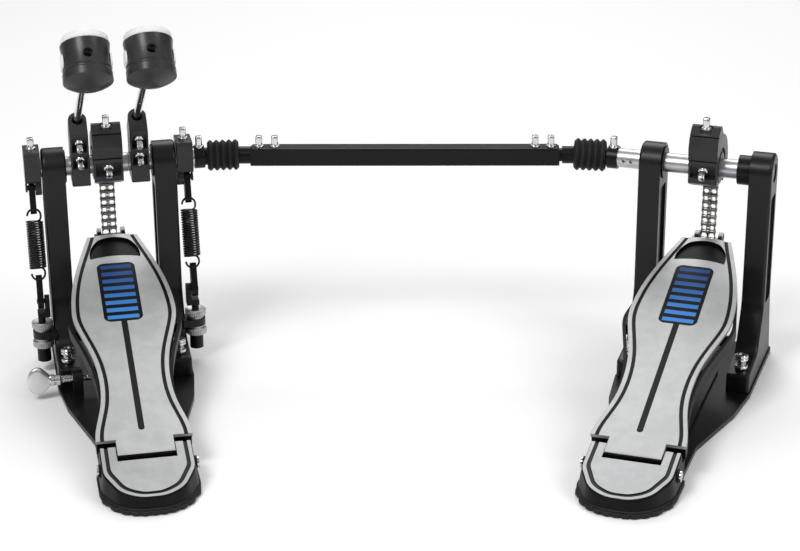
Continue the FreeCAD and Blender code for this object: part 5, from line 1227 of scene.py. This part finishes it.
@dataclass
class Holder:
    """Beater holder: block round the axle, with a leaning crown, a rod socket and two sloped bolt seats."""

    line: BeaterLine
    width: float = 0.0148
    front: float = 0.015
    back: float = 0.0135
    top: float = 0.046
    bottom: float = 0.014
    facet: float = 38.0
    round: float = 0.004
    rim: float = 0.0006
    cheek: float = 0.0014
    play: float = 0.0001
    overrun: float = 0.0006
    axle_radius: float = 0.00782
    bore: float = 0.00308
    socket: float = 0.0044
    socket_depth: float = 0.004
    reach: float = 0.08
    arch_share: float = 0.98
    arch_steps: int = 16

    def outline(self) -> list[Flat]:
        """Outline of the block in the side view, counter-clockwise."""
        crest = self.back / 3
        nose = self.top - math.tan(math.radians(self.facet)) * (self.front + crest)
        return rounded(
            [
                (-self.front / 2, -self.bottom, self.round),
                (self.back, -self.bottom, self.round),
                (self.back, self.top - self.back / 2, self.round),
                (crest, self.top, self.round),
                (-self.front, nose, self.round / 4),
                (-self.front, -self.bottom + self.round / 10, self.round / 2),
            ]
        )

    def crown(self) -> Form:
        """Upright arch about the rod that the block is kept inside."""
        half = self.width / 2 + self.play
        corners = [(-half, -self.reach, 0.0), (half, -self.reach, 0.0)]
        corners += [(half, half, half * self.arch_share), (-half, half, half * self.arch_share)]
        lean = Matrix.Rotation(math.radians(self.line.lean), 4, "X")
        place = MAIN.matrix() @ Matrix.Translation(self.line.mouth()) @ lean
        form = Form()
        form.slab(rounded(corners, self.arch_steps), -self.reach, self.reach, self.play, place)
        return form

    def holes(self) -> Form:
        """Bolt notches, axle bore and rod socket."""
        form = Form()
        side = side_view(MAIN)
        half = self.width / 2 - self.cheek
        for seat in HOLDER_SEATS:
            notch = seat.notch(self.front + self.overrun)
            form.slab(notch, self.line.centre - half, self.line.centre + half, self.play, side)
        axle = side @ Matrix.Translation((0, 0, self.line.centre))
        form.lathe(pin(self.axle_radius, -self.reach, self.reach), axle)
        socket = [(0, -self.reach), (self.bore, -self.reach), (self.bore, -self.socket_depth)]
        socket += [(self.socket, self.bore - self.socket_depth), (self.socket, self.reach), (0, self.reach)]
        form.lathe(socket, MAIN.matrix() @ along_axis(self.line.mouth(), self.line.rod()))
        return form

    def build(self, finishes: Finishes) -> None:
        """Build the holder and hang it on its rotor."""
        form = Form()
        half = self.width / 2
        side = side_view(MAIN)
        form.slab(self.outline(), self.line.centre - half, self.line.centre + half, self.rim, side)
        piece = form.done(f"{self.line.name}_holder_block", finishes.rotor_casting_with_painted_light)
        carve(piece, self.crown(), Cut.SHARED)
        carve(piece, self.holes(), Cut.AWAY)
        hang(piece, f"{self.line.name}_rotor", f"{self.line.name}_beater_holder")


@dataclass
class CamBlock:
    """Chain cam with a low crest, two grooves, a boss for its upper bolt and a notch for its lower one.

    Attributes:
        frame: Pedal that the cam belongs to.
        node: Node that gives the cam's plain shape.
        grooves: Place forward and up from the axle of each groove, and its facing in degrees.
        crest: Outline of what is cut away over the crest, forward and up from the axle.
    """

    frame: PedalFrame
    node: bpy.types.Object
    boss_radius: float = 0.005
    boss_height: float = 0.006
    face_radius: float = 0.0054
    face_reach: float = 0.02
    notch_half: float = 0.0103
    notch_front: float = 0.0205
    half: float = 0.0118
    grooves: tuple[Triple, ...] = ((-0.01764, 0.0304, 143.6), (-0.01953, 0.01, 172.0))
    crest: tuple[Flat, ...] = (
        (-0.03, 0.0364),
        (-0.0045, 0.0364),
        (0.003, 0.0279),
        (0.03, 0.0279),
        (0.03, 0.06),
        (-0.03, 0.06),
    )
    groove_half: float = 0.0005
    groove_depth: float = 0.0025
    overrun: float = 0.0005
    play: float = 0.0001
    weld: float = 0.000001
    sharp: float = 8.0

    def post(self, radius: float, low: float, high: float) -> Form:
        """Upright cylinder at the upper bolt, by heights from its seat."""
        form = Form()
        form.lathe(pin(radius, low, high), self.frame.matrix() @ Matrix.Translation(CAM_BOSS))
        return form

    def across(self, form: Form, outline: Sequence[Flat], half: float, place: Matrix) -> None:
        """Slab of a half width across the cam, over an outline in the side view."""
        form.slab(outline, LAYOUT.cam_centre - half, LAYOUT.cam_centre + half, self.play, place)

    def build(self, finishes: Finishes) -> None:
        """Build the cam from its node's own shape and hang it on its rotor."""
        form = Form()
        form.mesh.from_mesh(self.node.data)
        bmesh.ops.remove_doubles(form.mesh, verts=form.mesh.verts[:], dist=self.weld)
        piece = form.done(f"{self.frame.name}_cam_block", finishes.rotor_casting_with_painted_light, self.sharp)
        carve(piece, self.post(self.boss_radius, -self.boss_height, 0.0), Cut.JOINED, self.sharp)
        side = side_view(self.frame)
        wide = self.half + self.overrun
        seats = self.post(self.face_radius, 0.0, self.face_reach)
        self.across(seats, CAM_SEAT.notch(self.notch_front), self.notch_half, side)
        half, depth, out = self.groove_half, self.groove_depth, self.overrun
        groove = [(-depth, -half), (out, -half), (out, half), (-depth, half)]
        for forward, rise, facing in self.grooves:
            turn = Matrix.Rotation(math.radians(facing), 4, "Z")
            self.across(seats, groove, wide, side @ Matrix.Translation((forward, rise, 0)) @ turn)
        carve(piece, seats, Cut.AWAY, self.sharp)
        over = Form()
        self.across(over, self.crest, wide, side)
        carve(piece, over, Cut.AWAY, self.sharp)
        hang(piece, f"{self.frame.name}_rotor", f"{self.frame.name}_cam")


@dataclass
class BeaterRod:
    """Bright rod of one beater, ending deep in its head's bore."""

    line: BeaterLine
    radius: float = 0.003
    tail: float = 0.026
    end: float = 0.116
    rim: float = 0.0006
    segments: int = 32

    def build(self, finishes: Finishes) -> None:
        """Build the rod and hang it on its beater."""
        place = MAIN.matrix() @ along_axis(self.line.mouth(), self.line.rod())
        form = Form()
        form.lathe(pin(self.radius, -self.tail, self.end, self.rim), place, self.segments)
        piece = form.done(f"{self.line.name}_beater_shaft", finishes.chrome)
        hang(piece, f"{self.line.name}_beater", f"{self.line.name}_beater_rod")


@dataclass
class TensionNuts:
    """Knurled nuts of both tension bolts, with their collars on the lugs."""

    lug_bottom: float = 0.0305
    lug_height: float = 0.006
    height: float = 0.008
    radius: float = 0.0086
    bore: float = 0.00304
    collar_radius: float = 0.0066
    collar: float = 0.0024
    dish: float = 0.0009
    rim: float = 0.0007
    ridges: int = 36
    ridge_steps: int = 4
    knurl: float = 0.0005
    weld: float = 0.0000001

    def sections(self) -> list[Triple]:
        """Radius, height from the lug and knurl of each ring, round the nut's section."""
        band = self.collar + self.rim
        top = self.height
        edge = self.radius - self.rim
        return [
            (self.bore, 0.0, 0.0),
            (self.collar_radius, 0.0, 0.0),
            (self.collar_radius, self.collar, 0.0),
            (edge, self.collar, 0.0),
            (self.radius, band, self.knurl),
            (self.radius, top - self.rim, self.knurl),
            (edge, top, 0.0),
            (edge - self.rim, top, 0.0),
            (self.bore + self.rim * 2, top - self.dish, 0.0),
            (self.bore, top - self.dish, 0.0),
            (self.bore, 0.0, 0.0),
        ]

    def nut(self, form: Form, place: Matrix) -> None:
        """One nut that stands on its collar."""
        rings = []
        steps = self.ridges * self.ridge_steps
        for radius, height, knurl in self.sections():
            ring = []
            for step in range(steps):
                angle = 2 * math.pi * step / steps
                reach = radius - knurl * (1 - math.cos(self.ridges * angle)) / 2
                ring.append(place @ Vector((reach * math.cos(angle), reach * math.sin(angle), height)))
            rings.append(ring)
        form.loft(rings, capped=False)

    def build(self, finishes: Finishes) -> None:
        """Build all four nuts."""
        form = Form()
        for side in (-1, 1):
            foot = Vector((side * LAYOUT.spring_x, -LAYOUT.spring_setback, self.lug_bottom))
            self.nut(form, MAIN.matrix() @ along_axis(foot + UP * self.lug_height, UP))
            self.nut(form, MAIN.matrix() @ along_axis(foot, -UP))
        bmesh.ops.remove_doubles(form.mesh, verts=form.mesh.verts[:], dist=self.weld)
        piece = form.done("knurled_nuts", finishes.nut_steel)
        hang(piece, "main_frame", "tension_nuts")


@dataclass
class WingScrew:
    """Wing screw of the hoop clamp: pear-shaped blade, grooved neck and threaded screw."""

    setback: float = 0.085
    height: float = 0.0165
    start: float = 0.058
    length: float = 0.022
    half: float = 0.012
    thickness: float = 0.0045
    neck_radius: float = 0.0046
    neck_half: float = 0.0046
    root: float = 0.0028
    widest_share: float = 0.6
    radius: float = 0.003
    tip: float = 0.006
    pitch: float = 0.00125
    depth: float = 0.00035
    rim: float = 0.0006
    layers: tuple[float, ...] = (-1.0, -0.9, -0.66, -0.24, 0.24, 0.66, 0.9, 1.0)
    swell: float = 0.36
    swell_power: float = 0.8
    steps: int = 40
    segments: int = 36
    sharp: float = 50.0
    thread_sharp: float = 28.0

    def outline(self) -> list[Flat]:
        """Pear outline from the neck, as reach and rise, counter-clockwise."""
        upper = []
        for step in range(self.steps + 1):
            share = (1 - math.cos(math.pi * step / self.steps)) / 2
            if share < self.widest_share:
                climb = share / self.widest_share
                rise = self.root + (self.half - self.root) * (3 - 2 * climb) * climb * climb
            else:
                over = (share - self.widest_share) / (1 - self.widest_share)
                rise = self.half * math.sqrt(max(0.0, 1 - over * over))
            upper.append((share * self.length, rise))
        lower = [(reach, -rise) for reach, rise in upper[:-1]]
        return lower + upper[::-1]

    def blade(self, finishes: Finishes) -> None:
        """Build the blade, swollen to its middle."""
        form = Form()
        place = MAIN.matrix() @ Matrix.Translation((-self.start, -self.setback, self.height))
        middle = self.length * self.widest_share
        rings = []
        for share in self.layers:
            shrink = (1 - abs(share) ** 3 * self.swell) ** self.swell_power
            ring = []
            for reach, rise in self.outline():
                x = -(middle + (reach - middle) * shrink)
                ring.append(place @ Vector((x, share * self.thickness / 2, rise * shrink)))
            rings.append(ring)
        form.loft(rings)
        piece = form.done("hoop_wing_blade", finishes.wing_metal, self.sharp)
        hang(piece, "hoop_screw", "hoop_clamp_screw")

    def screw(self, finishes: Finishes) -> None:
        """Build the neck and the thread behind the blade."""
        neck, groove = self.neck_radius, self.neck_radius - self.rim
        profile = [(0.0, -self.neck_half), (groove - self.rim, -self.neck_half)]
        profile += [(neck, self.rim * 2 - self.neck_half), (neck, -self.rim)]
        profile += [(groove, 0.0), (groove, self.rim), (neck, self.rim * 2)]
        profile += [(neck, self.neck_half - self.rim), (groove, self.neck_half)]
        end = self.start - self.tip
        valley = self.radius - self.depth
        for turn in range(int((end - self.neck_half) / self.pitch) - 1):
            low = self.neck_half + self.pitch * turn
            profile += [(valley, low + self.pitch / 4), (self.radius, low + self.pitch * 3 / 4)]
        profile += [(valley, end - self.rim), (self.radius - self.rim * 2, end), (0.0, end)]
        start = Vector((-self.start, -self.setback, self.height))
        form = Form()
        form.lathe(profile, MAIN.matrix() @ along_axis(start, RIGHT), self.segments)
        piece = form.done("hoop_wing_thread", finishes.chrome, self.thread_sharp)
        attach(piece, "hoop_screw")

    def build(self, finishes: Finishes) -> None:
        """Build the whole wing screw."""
        self.blade(finishes)
        self.screw(finishes)
        LOG.info("wing screw is built")


@dataclass
class BeaterFace:
    """Felt face and light side discs of one beater head."""

    line: BeaterLine
    rod_reach: float = 0.108
    head_radius: float = 0.0193
    head_far: float = 0.0135
    felt_radius: float = 0.0185
    felt_depth: float = 0.0095
    felt_crown: float = 0.0045
    disc_radius: float = 0.0069
    disc_depth: float = 0.0014
    seat_share: float = 0.985
    seat_rim: float = 0.0006
    bulge: float = 0.0002
    shoulder: float = 0.0008
    crown_rings: int = 22
    side_power: float = 0.62
    crown_power: float = 1.15
    nap: float = 0.00022
    nap_scale: float = 900.0
    nap_octaves: int = 3
    segments: int = 96
    disc_segments: int = 40
    sharp: float = 50.0

    def place(self) -> Matrix:
        """Matrix of the head: z to the felt, y to the rod's end and x across both."""
        rod, strike = self.line.rod(), self.line.strike()
        turn = Matrix((rod.cross(strike), rod, strike)).transposed().to_4x4()
        return MAIN.matrix() @ Matrix.Translation(self.line.mouth() + rod * self.rod_reach) @ turn

    def profile(self) -> list[Flat]:
        """Outline of the felt's half section, from its seat to its crown."""
        seat, radius = self.head_far, self.felt_radius
        wall = seat + self.felt_depth - self.felt_crown
        points = [(0.0, seat), (radius * self.seat_share, seat), (radius, seat + self.seat_rim)]
        points += [(radius + self.bulge, (seat + wall) / 2), (radius, wall - self.shoulder)]
        for step in range(1, self.crown_rings):
            angle = step / self.crown_rings * math.pi / 2
            rise = self.felt_crown * math.sin(angle) ** self.crown_power
            points.append((radius * math.cos(angle) ** self.side_power, wall + rise))
        points.append((0.0, self.head_far + self.felt_depth))
        return points

    def build(self, finishes: Finishes) -> None:
        """Build the felt and discs and hang them on the beater."""
        form = Form()
        place = self.place()
        form.lathe(self.profile(), place, self.segments)
        for vertex in form.mesh.verts:
            local = place.inverted() @ vertex.co
            outward = Vector((local.x, local.y, max(0.0, local.z - self.head_far))).normalized()
            if local.z > self.head_far:
                lift = noise.fractal(vertex.co * self.nap_scale, 1.0, 2.0, self.nap_octaves) * self.nap
                vertex.co = place @ (local + outward * lift)
        rim = self.disc_depth / 4
        inner, outer = self.head_radius - self.disc_depth, self.head_radius
        disc = [(0, inner), (self.disc_radius, inner), (self.disc_radius, outer - rim)]
        disc += [(self.disc_radius - rim, outer), (0, outer)]
        for side in (-1, 1):
            form.lathe(disc, place @ along_axis(Vector((0, 0, 0)), RIGHT * side), self.disc_segments)
        piece = form.done(f"{self.line.name}_felt_face", finishes.felt, self.sharp)
        hang(piece, f"{self.line.name}_beater", f"{self.line.name}_beater_felt")


@dataclass
class HeelPad:
    """Rubber pad under a heel block, with a scalloped rim."""

    frame: PedalFrame
    start: float = 0.2379
    bend: float = 0.2696
    middle: float = 0.29206
    front: float = 0.3007
    half: float = 0.0375
    middle_half: float = 0.02656
    front_half: float = 0.0116
    height: float = 0.005
    round: float = 0.0272
    bumps: int = 11
    bump_radius: float = 0.0032
    bump_fade: float = 0.006
    bump_power: float = 0.6
    rim_share: float = 0.93
    rim: float = 0.0006
    spacing: float = 0.0006
    round_steps: int = 10
    step_share: float = 0.72

    def outline(self) -> list[Flat]:
        """Plain outline of the pad, counter-clockwise in the pedal's frame."""
        bends = [(self.half, self.bend), (self.middle_half, self.middle), (self.front_half, self.front)]
        left = [(-half, -setback, self.round) for half, setback in bends]
        right = [(half, -setback, self.round) for half, setback in reversed(bends)]
        back = [(self.half, -self.start, 0.0), (-self.half, -self.start, 0.0)]
        plain = [Vector(point) for point in rounded(back + left + right, self.round_steps)]
        points = []
        for here, there in zip(plain, plain[1:] + plain[:1]):
            count = max(1, round((there - here).length / self.spacing))
            points += [tuple(here.lerp(there, step / count)) for step in range(count)]
        return points

    def scalloped(self, outline: Sequence[Flat]) -> list[Flat]:
        """Outline whose front swells into even scallops."""
        span = self.half * 2 * self.rim_share
        swollen = []
        grown = inset(outline, -self.bump_radius / 2)
        for (x, y), (far_x, far_y) in zip(outline, grown):
            if y > -self.bend:
                swollen.append((x, y))
                continue
            wave = abs(math.cos(math.pi * (x / span + 0.5) * (self.bumps - 1)))
            share = wave**self.bump_power * min(1.0, (-self.bend - y) / self.bump_fade)
            swollen.append((x + (far_x - x) * share, y + (far_y - y) * share))
        return swollen

    def build(self, finishes: Finishes) -> None:
        """Build the pad and lay it under the heel."""
        form = Form()
        place = self.frame.matrix()
        plain = self.outline()
        lower = self.scalloped(plain)
        sole = inset(lower, self.rim)
        step = self.height * self.step_share
        layers = [(sole, 0.0), (lower, self.rim), (lower, step - self.rim), (sole, step), (plain, step)]
        layers += [(plain, self.height - self.rim), (inset(plain, self.rim), self.height)]
        form.loft([[place @ Vector((x, y, height)) for x, y in points] for points, height in layers])
        piece = form.done(f"{self.frame.name}_heel_rubber", finishes.rubber)
        hang(piece, f"{self.frame.name}_frame", f"{self.frame.name}_heel_pad")


@dataclass
class KeyBolts:
    """Square-headed key bolts of one node, each on a domed flange.

    Attributes:
        node: Node that the bolts stand for.
        body: Body that they ride on.
        frame: Matrix of the frame that their seats are given in.
        seats: Place of each flange and direction of each post.
        flange_steps: Shares of the flange's radius and height, up to its dome.
        foot_steps: Share of half the square, rims over the flange and squareness, at the post's foot.
        top_steps: Share of half the square, rims below the top and squareness, at the post's end.
    """

    node: str
    body: str
    frame: Matrix
    seats: Sequence[Seat]
    flange_radius: float = 0.0043
    flange: float = 0.0018
    square: float = 0.0056
    post: float = 0.0075
    corner: float = 5.0
    flange_steps: tuple[Flat, ...] = ((1.0, 0.0), (1.0, 0.5), (0.93, 0.78), (0.8, 0.94))
    foot_steps: tuple[Triple, ...] = ((1.06, 0.0, 0.3), (0.97, 0.5, 1.0), (1.0, 2.0, 1.0))
    top_steps: tuple[Triple, ...] = ((1.0, 2.0, 1.0), (0.94, 0.8, 0.9), (0.8, 0.2, 0.7), (0.62, 0.0, 0.5))
    segments: int = 40

    def ring(self, place: Matrix, reach: float, height: float, squareness: float) -> list[Vector]:
        """Section of a bolt, from round at 0 to square at 1.

        Args:
            place: Matrix of the bolt.
            reach: Radius, or half the width of the square.
            height: Place along the bolt.
            squareness: Share of the square in the section.

        Returns:
            Points of the ring.
        """
        points = []
        for across, along in turn_steps(self.segments):
            squared = reach / (abs(across) ** self.corner + abs(along) ** self.corner) ** (1 / self.corner)
            radius = reach + (squared - reach) * squareness
            points.append(place @ Vector((radius * across, radius * along, height)))
        return points

    def bolt(self, form: Form, place: Matrix) -> None:
        """One bolt: flange, rounded foot, square post and a domed top."""
        half = self.square / 2
        rim = half / 4
        top = self.flange + self.post
        sections = [(self.flange_radius * reach, self.flange * rise, 0) for reach, rise in self.flange_steps]
        for reach, rise, squareness in self.foot_steps:
            sections.append((half * reach, self.flange + rim * rise, squareness))
        for reach, fall, squareness in self.top_steps:
            sections.append((half * reach, top - rim * fall, squareness))
        form.loft([self.ring(place, *section) for section in sections])

    def build(self, finishes: Finishes) -> None:
        """Build all bolts of the node."""
        form = Form()
        for seat, direction in self.seats:
            self.bolt(form, self.frame @ along_axis(seat, direction))
        piece = form.done(f"{self.node}_heads", finishes.chrome)
        hang(piece, self.body, self.node)


@dataclass(frozen=True)
class BoltSeats:
    """Where the key bolts sit on holders, cams, rockers, hubs and the square tube."""

    rocker_x: float = 0.0618
    rocker_top: float = 0.017
    hub_top: float = 0.0085
    hub_setback: float = 0.01985
    tube_half: float = 0.0075
    tube_places: tuple[float, ...] = (0.03, 0.043, 0.2573, 0.2703)

    def holder(self, centre: float) -> list[Seat]:
        """Two bolts on the sloped seats of a beater holder."""
        return [(seat.middle(centre), seat.facing()) for seat in HOLDER_SEATS]

    def cam(self) -> list[Seat]:
        """One upright bolt on a cam's boss and one on its sloped seat."""
        return [(CAM_BOSS, UP), (CAM_SEAT.middle(LAYOUT.cam_centre), CAM_SEAT.facing())]

    def upright(self, x: float, rise: float) -> Seat:
        """One bolt that stands upright over the axle."""
        return Vector((x, 0, LAYOUT.axle_height + rise)), UP

    def tube(self) -> list[Seat]:
        """Four bolts on top of the square tube, along x from the main joint."""
        return [(Vector((x, 0, self.tube_half)), UP) for x in self.tube_places]

    def build(self, finishes: Finishes) -> None:
        """Build the key bolts of all four nodes."""
        main, slave = MAIN.matrix(), SLAVE.matrix()
        holders = {line.name: self.holder(line.centre) for line in BEATERS}
        left = holders["main"] + self.cam() + [self.upright(-self.rocker_x, self.rocker_top)]
        right = holders["drive"] + [self.upright(self.rocker_x, self.rocker_top)]
        right.append(self.upright(LAYOUT.main_reach - self.hub_setback, self.hub_top))
        far = self.cam() + [self.upright(self.hub_setback - LAYOUT.slave_reach, self.hub_top)]
        KeyBolts("main_axle_screws", "main_rotor", main, left).build(finishes)
        KeyBolts("drive_axle_screws", "drive_rotor", main, right).build(finishes)
        KeyBolts("slave_axle_screws", "slave_rotor", slave, far).build(finishes)
        tube = Matrix.Translation(LAYOUT.main_joint())
        KeyBolts("drive_tube_screws", "drive_shaft", tube, self.tube()).build(finishes)


@dataclass
class Spurs:
    """Two spur bolts through the feet of a pedal's towers, with threads below their heads."""

    frame: PedalFrame
    place_x: float = 0.0456
    place_y: float = -0.06
    tip_lift: float = 0.001
    tip: float = 0.005
    neck_radius: float = 0.0032
    head_radius: float = 0.0052
    seat: float = 0.0205
    collar: float = 0.0032
    neck: float = 0.004
    head: float = 0.005
    rim: float = 0.0005
    threads: int = 4
    thread_depth: float = 0.0005
    valley_share: float = 0.15
    ridge_share: float = 0.55
    waist_share: float = 0.45
    dish_rim: float = 0.5
    dish: float = 0.4
    segments: int = 40
    sharp: float = 28.0

    def profile(self) -> list[Flat]:
        """Half section from the tip to the head's top."""
        neck, head = self.neck_radius, self.head_radius
        edge, deep = head - self.rim, head - self.rim * 2
        thread_start = self.seat + self.collar
        head_start = thread_start + self.neck
        waist = head_start + self.head * self.waist_share
        top = head_start + self.head
        pitch = self.neck / self.threads
        points = [(0.0, self.tip_lift), (neck, self.tip_lift + self.tip), (neck, self.seat)]
        points += [(edge, self.seat), (head, self.seat + self.rim)]
        points += [(head, thread_start - self.rim), (edge, thread_start)]
        for turn in range(self.threads):
            low = thread_start + pitch * turn
            points.append((neck - self.thread_depth, low + pitch * self.valley_share))
            points.append((neck + self.thread_depth, low + pitch * self.ridge_share))
        points += [(edge, head_start), (head, head_start + self.rim), (head, waist - self.rim), (edge, waist)]
        points += [(head, waist + self.rim), (head, top - self.rim * 2), (deep, top)]
        floor = top - self.rim * 2
        return points + [(head * self.dish_rim, top), (head * self.dish, floor), (0.0, floor)]

    def build(self, finishes: Finishes) -> None:
        """Build both spurs and hang them on the frame."""
        form = Form()
        for side in (-1, 1):
            place = self.frame.matrix() @ Matrix.Translation((side * self.place_x, self.place_y, 0))
            form.lathe(self.profile(), place, self.segments)
        piece = form.done(f"{self.frame.name}_spur_bolts", finishes.chrome, self.sharp)
        hang(piece, f"{self.frame.name}_frame", f"{self.frame.name}_spurs")


@dataclass
class Castings:
    """Every rigid node of the frame that keeps its own shape and gets its finish."""

    finishes: Finishes
    nodes: dict[str, bpy.types.Object]

    def paint(self, material: bpy.types.Material, *names: str) -> None:
        """Give one finish to some nodes."""
        for name in names:
            mesh = self.nodes[name].data
            mesh.materials.clear()
            mesh.materials.append(material)

    def dress(self) -> None:
        """Dress all nodes that stay in view."""
        finish = self.finishes
        for frame in (MAIN, SLAVE):
            name = frame.name
            self.paint(BoardTop(frame).material(), f"{name}_footboard")
            self.paint(HeelTop(frame).material(), f"{name}_heel_block")
            self.paint(finish.black_casting, f"{name}_base_plate")
            self.paint(finish.black_casting, f"{name}_tower_left", f"{name}_tower_right")
            self.paint(finish.black_steel, f"{name}_bearings", f"{name}_stub_yoke")
            self.paint(finish.chrome, f"{name}_hinge_pin")
            self.paint(finish.turned_steel, f"{name}_axle", f"{name}_cross")
        for name in ("main", "drive"):
            # The rockers take the lighter copy of the black casting, which is painted light for their shiny
            # fronts.
            self.paint(finish.rotor_casting_with_painted_light, f"{name}_rocker")
            self.paint(finish.black_steel, f"{name}_spring_hanger", f"{name}_spring_eye")
            self.paint(finish.head_shell, f"{name}_beater_head")
        self.paint(finish.black_steel, "tension_bolts", "drive_tube", "drive_axle_yoke", "slave_axle_yoke")
        self.paint(finish.black_casting, "hoop_clamp_jaw")
        self.paint(finish.turned_steel, "drive_axle")
        LOG.info("dressed the castings")


class Sky(Nodes):
    """Soft white dome that darkens towards the horizon, as a studio's walls do."""

    def __init__(self, zenith: float, horizon: float, span: Flat = (0.08, 0.75)) -> None:
        """Hang the dome.

        Args:
            zenith: Strength overhead.
            horizon: Strength at the horizon and below it.
            span: Heights between which it changes, from 0 at the horizon to 1 overhead.
        """
        self.world = bpy.data.worlds.new("studio dome")
        self.world.use_nodes = True
        super().__init__(self.world.node_tree)
        height = self.parts(self.coordinates().outputs["Generated"])[2]
        background = self.tree.nodes["Background"]
        self.feed(background.inputs["Color"], (1.0, 1.0, 1.0))
        self.feed(background.inputs["Strength"], horizon + height.fade(*span) * (zenith - horizon))


@dataclass
class Studio:
    """Pale floor, soft light and the camera at the photographed angle."""

    camera_place: Place = (0.2673, -1.6936, 0.746)
    camera_yaw: float = 0.99
    camera_pitch: float = -21.8
    camera_roll: float = -0.37
    lens: float = 98.55
    sensor: float = 36.0
    floor_size: float = 30.0
    floor_drop: float = 0.0006
    zenith: float = 0.5
    horizon: float = 0.16
    target: Place = (0.25, -0.1, 0.08)

    def floor(self) -> bpy.types.Object:
        """Wide pale floor just under the pedal."""
        half = self.floor_size / 2
        shader = Shader("studio floor")
        shader.set(Base_Color=(0.93, 0.93, 0.93), Roughness=0.8, Specular_IOR_Level=0.1)
        form = Form()
        corners = [(-half, -half), (half, -half), (half, half), (-half, half)]
        form.mesh.faces.new([form.mesh.verts.new((x, y, -self.floor_drop)) for x, y in corners])
        return form.done("studio_floor", shader.material)

    def light(self, name: str, place: Place, size: float, power: float) -> bpy.types.Object:
        """Square soft light that points at the part.

        Args:
            name: Name of the light.
            place: Where it hangs.
            size: Side of the square.
            power: Power in watts.

        Returns:
            The light's object.
        """
        data = bpy.data.lights.new(name, "AREA")
        data.size = size
        data.energy = power
        lamp = bpy.data.objects.new(name, data)
        lamp.location = place
        lamp.rotation_euler = (Vector(self.target) - Vector(place)).to_track_quat("-Z", "Y").to_euler()
        bpy.context.scene.collection.objects.link(lamp)
        return lamp

    def camera(self) -> bpy.types.Object:
        """Camera of the photograph."""
        data = bpy.data.cameras.new("camera")
        data.lens = self.lens
        data.sensor_width = self.sensor
        eye = bpy.data.objects.new("camera", data)
        turn = Matrix.Rotation(math.radians(self.camera_yaw), 4, "Z")
        tilt = Matrix.Rotation(math.radians(90 + self.camera_pitch), 4, "X")
        roll = Matrix.Rotation(math.radians(self.camera_roll), 4, "Z")
        eye.matrix_world = Matrix.Translation(self.camera_place) @ turn @ tilt @ roll
        bpy.context.scene.collection.objects.link(eye)
        bpy.context.scene.camera = eye
        return eye

    def build(self) -> None:
        """Set up the whole studio."""
        bpy.context.scene.world = Sky(self.zenith, self.horizon).world
        bpy.context.scene.view_settings.view_transform = "Standard"
        self.floor()
        self.light("key_light", place=(-0.7, -1.3, 1.9), size=0.75, power=27.0)
        self.light("fill_light", place=(1.7, -1.0, 1.4), size=1.0, power=14.0)
        self.light("back_light", place=(0.3, 1.5, 1.7), size=1.2, power=17.0)
        self.camera()
        LOG.info("studio is set")


def main() -> None:
    """Load the frame, dress it, add the soft and fine pieces and set up the studio."""
    logging.basicConfig(level=logging.INFO, format="%(name)s: %(message)s")
    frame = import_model()
    finishes = Finishes()
    Castings(finishes, frame["nodes"]).dress()
    for pedal in (MAIN, SLAVE):
        Chain(pedal).build(finishes)
        HeelPad(pedal).build(finishes)
        Spurs(pedal).build(finishes)
        CamBlock(pedal, frame["nodes"][f"{pedal.name}_cam"]).build(finishes)
    Spring("main", -1).build(finishes)
    Spring("drive", 1).build(finishes)
    Boot("main", LAYOUT.main_joint(), LAYOUT.main_yaw).build(finishes)
    Boot("slave", LAYOUT.slave_joint(), LAYOUT.slave_yaw).build(finishes)
    for line in BEATERS:
        Holder(line).build(finishes)
        BeaterRod(line).build(finishes)
        BeaterFace(line).build(finishes)
    TensionNuts().build(finishes)
    WingScrew().build(finishes)
    BoltSeats().build(finishes)
    Studio().build()
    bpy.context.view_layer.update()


if __name__ == "__main__":
    main()
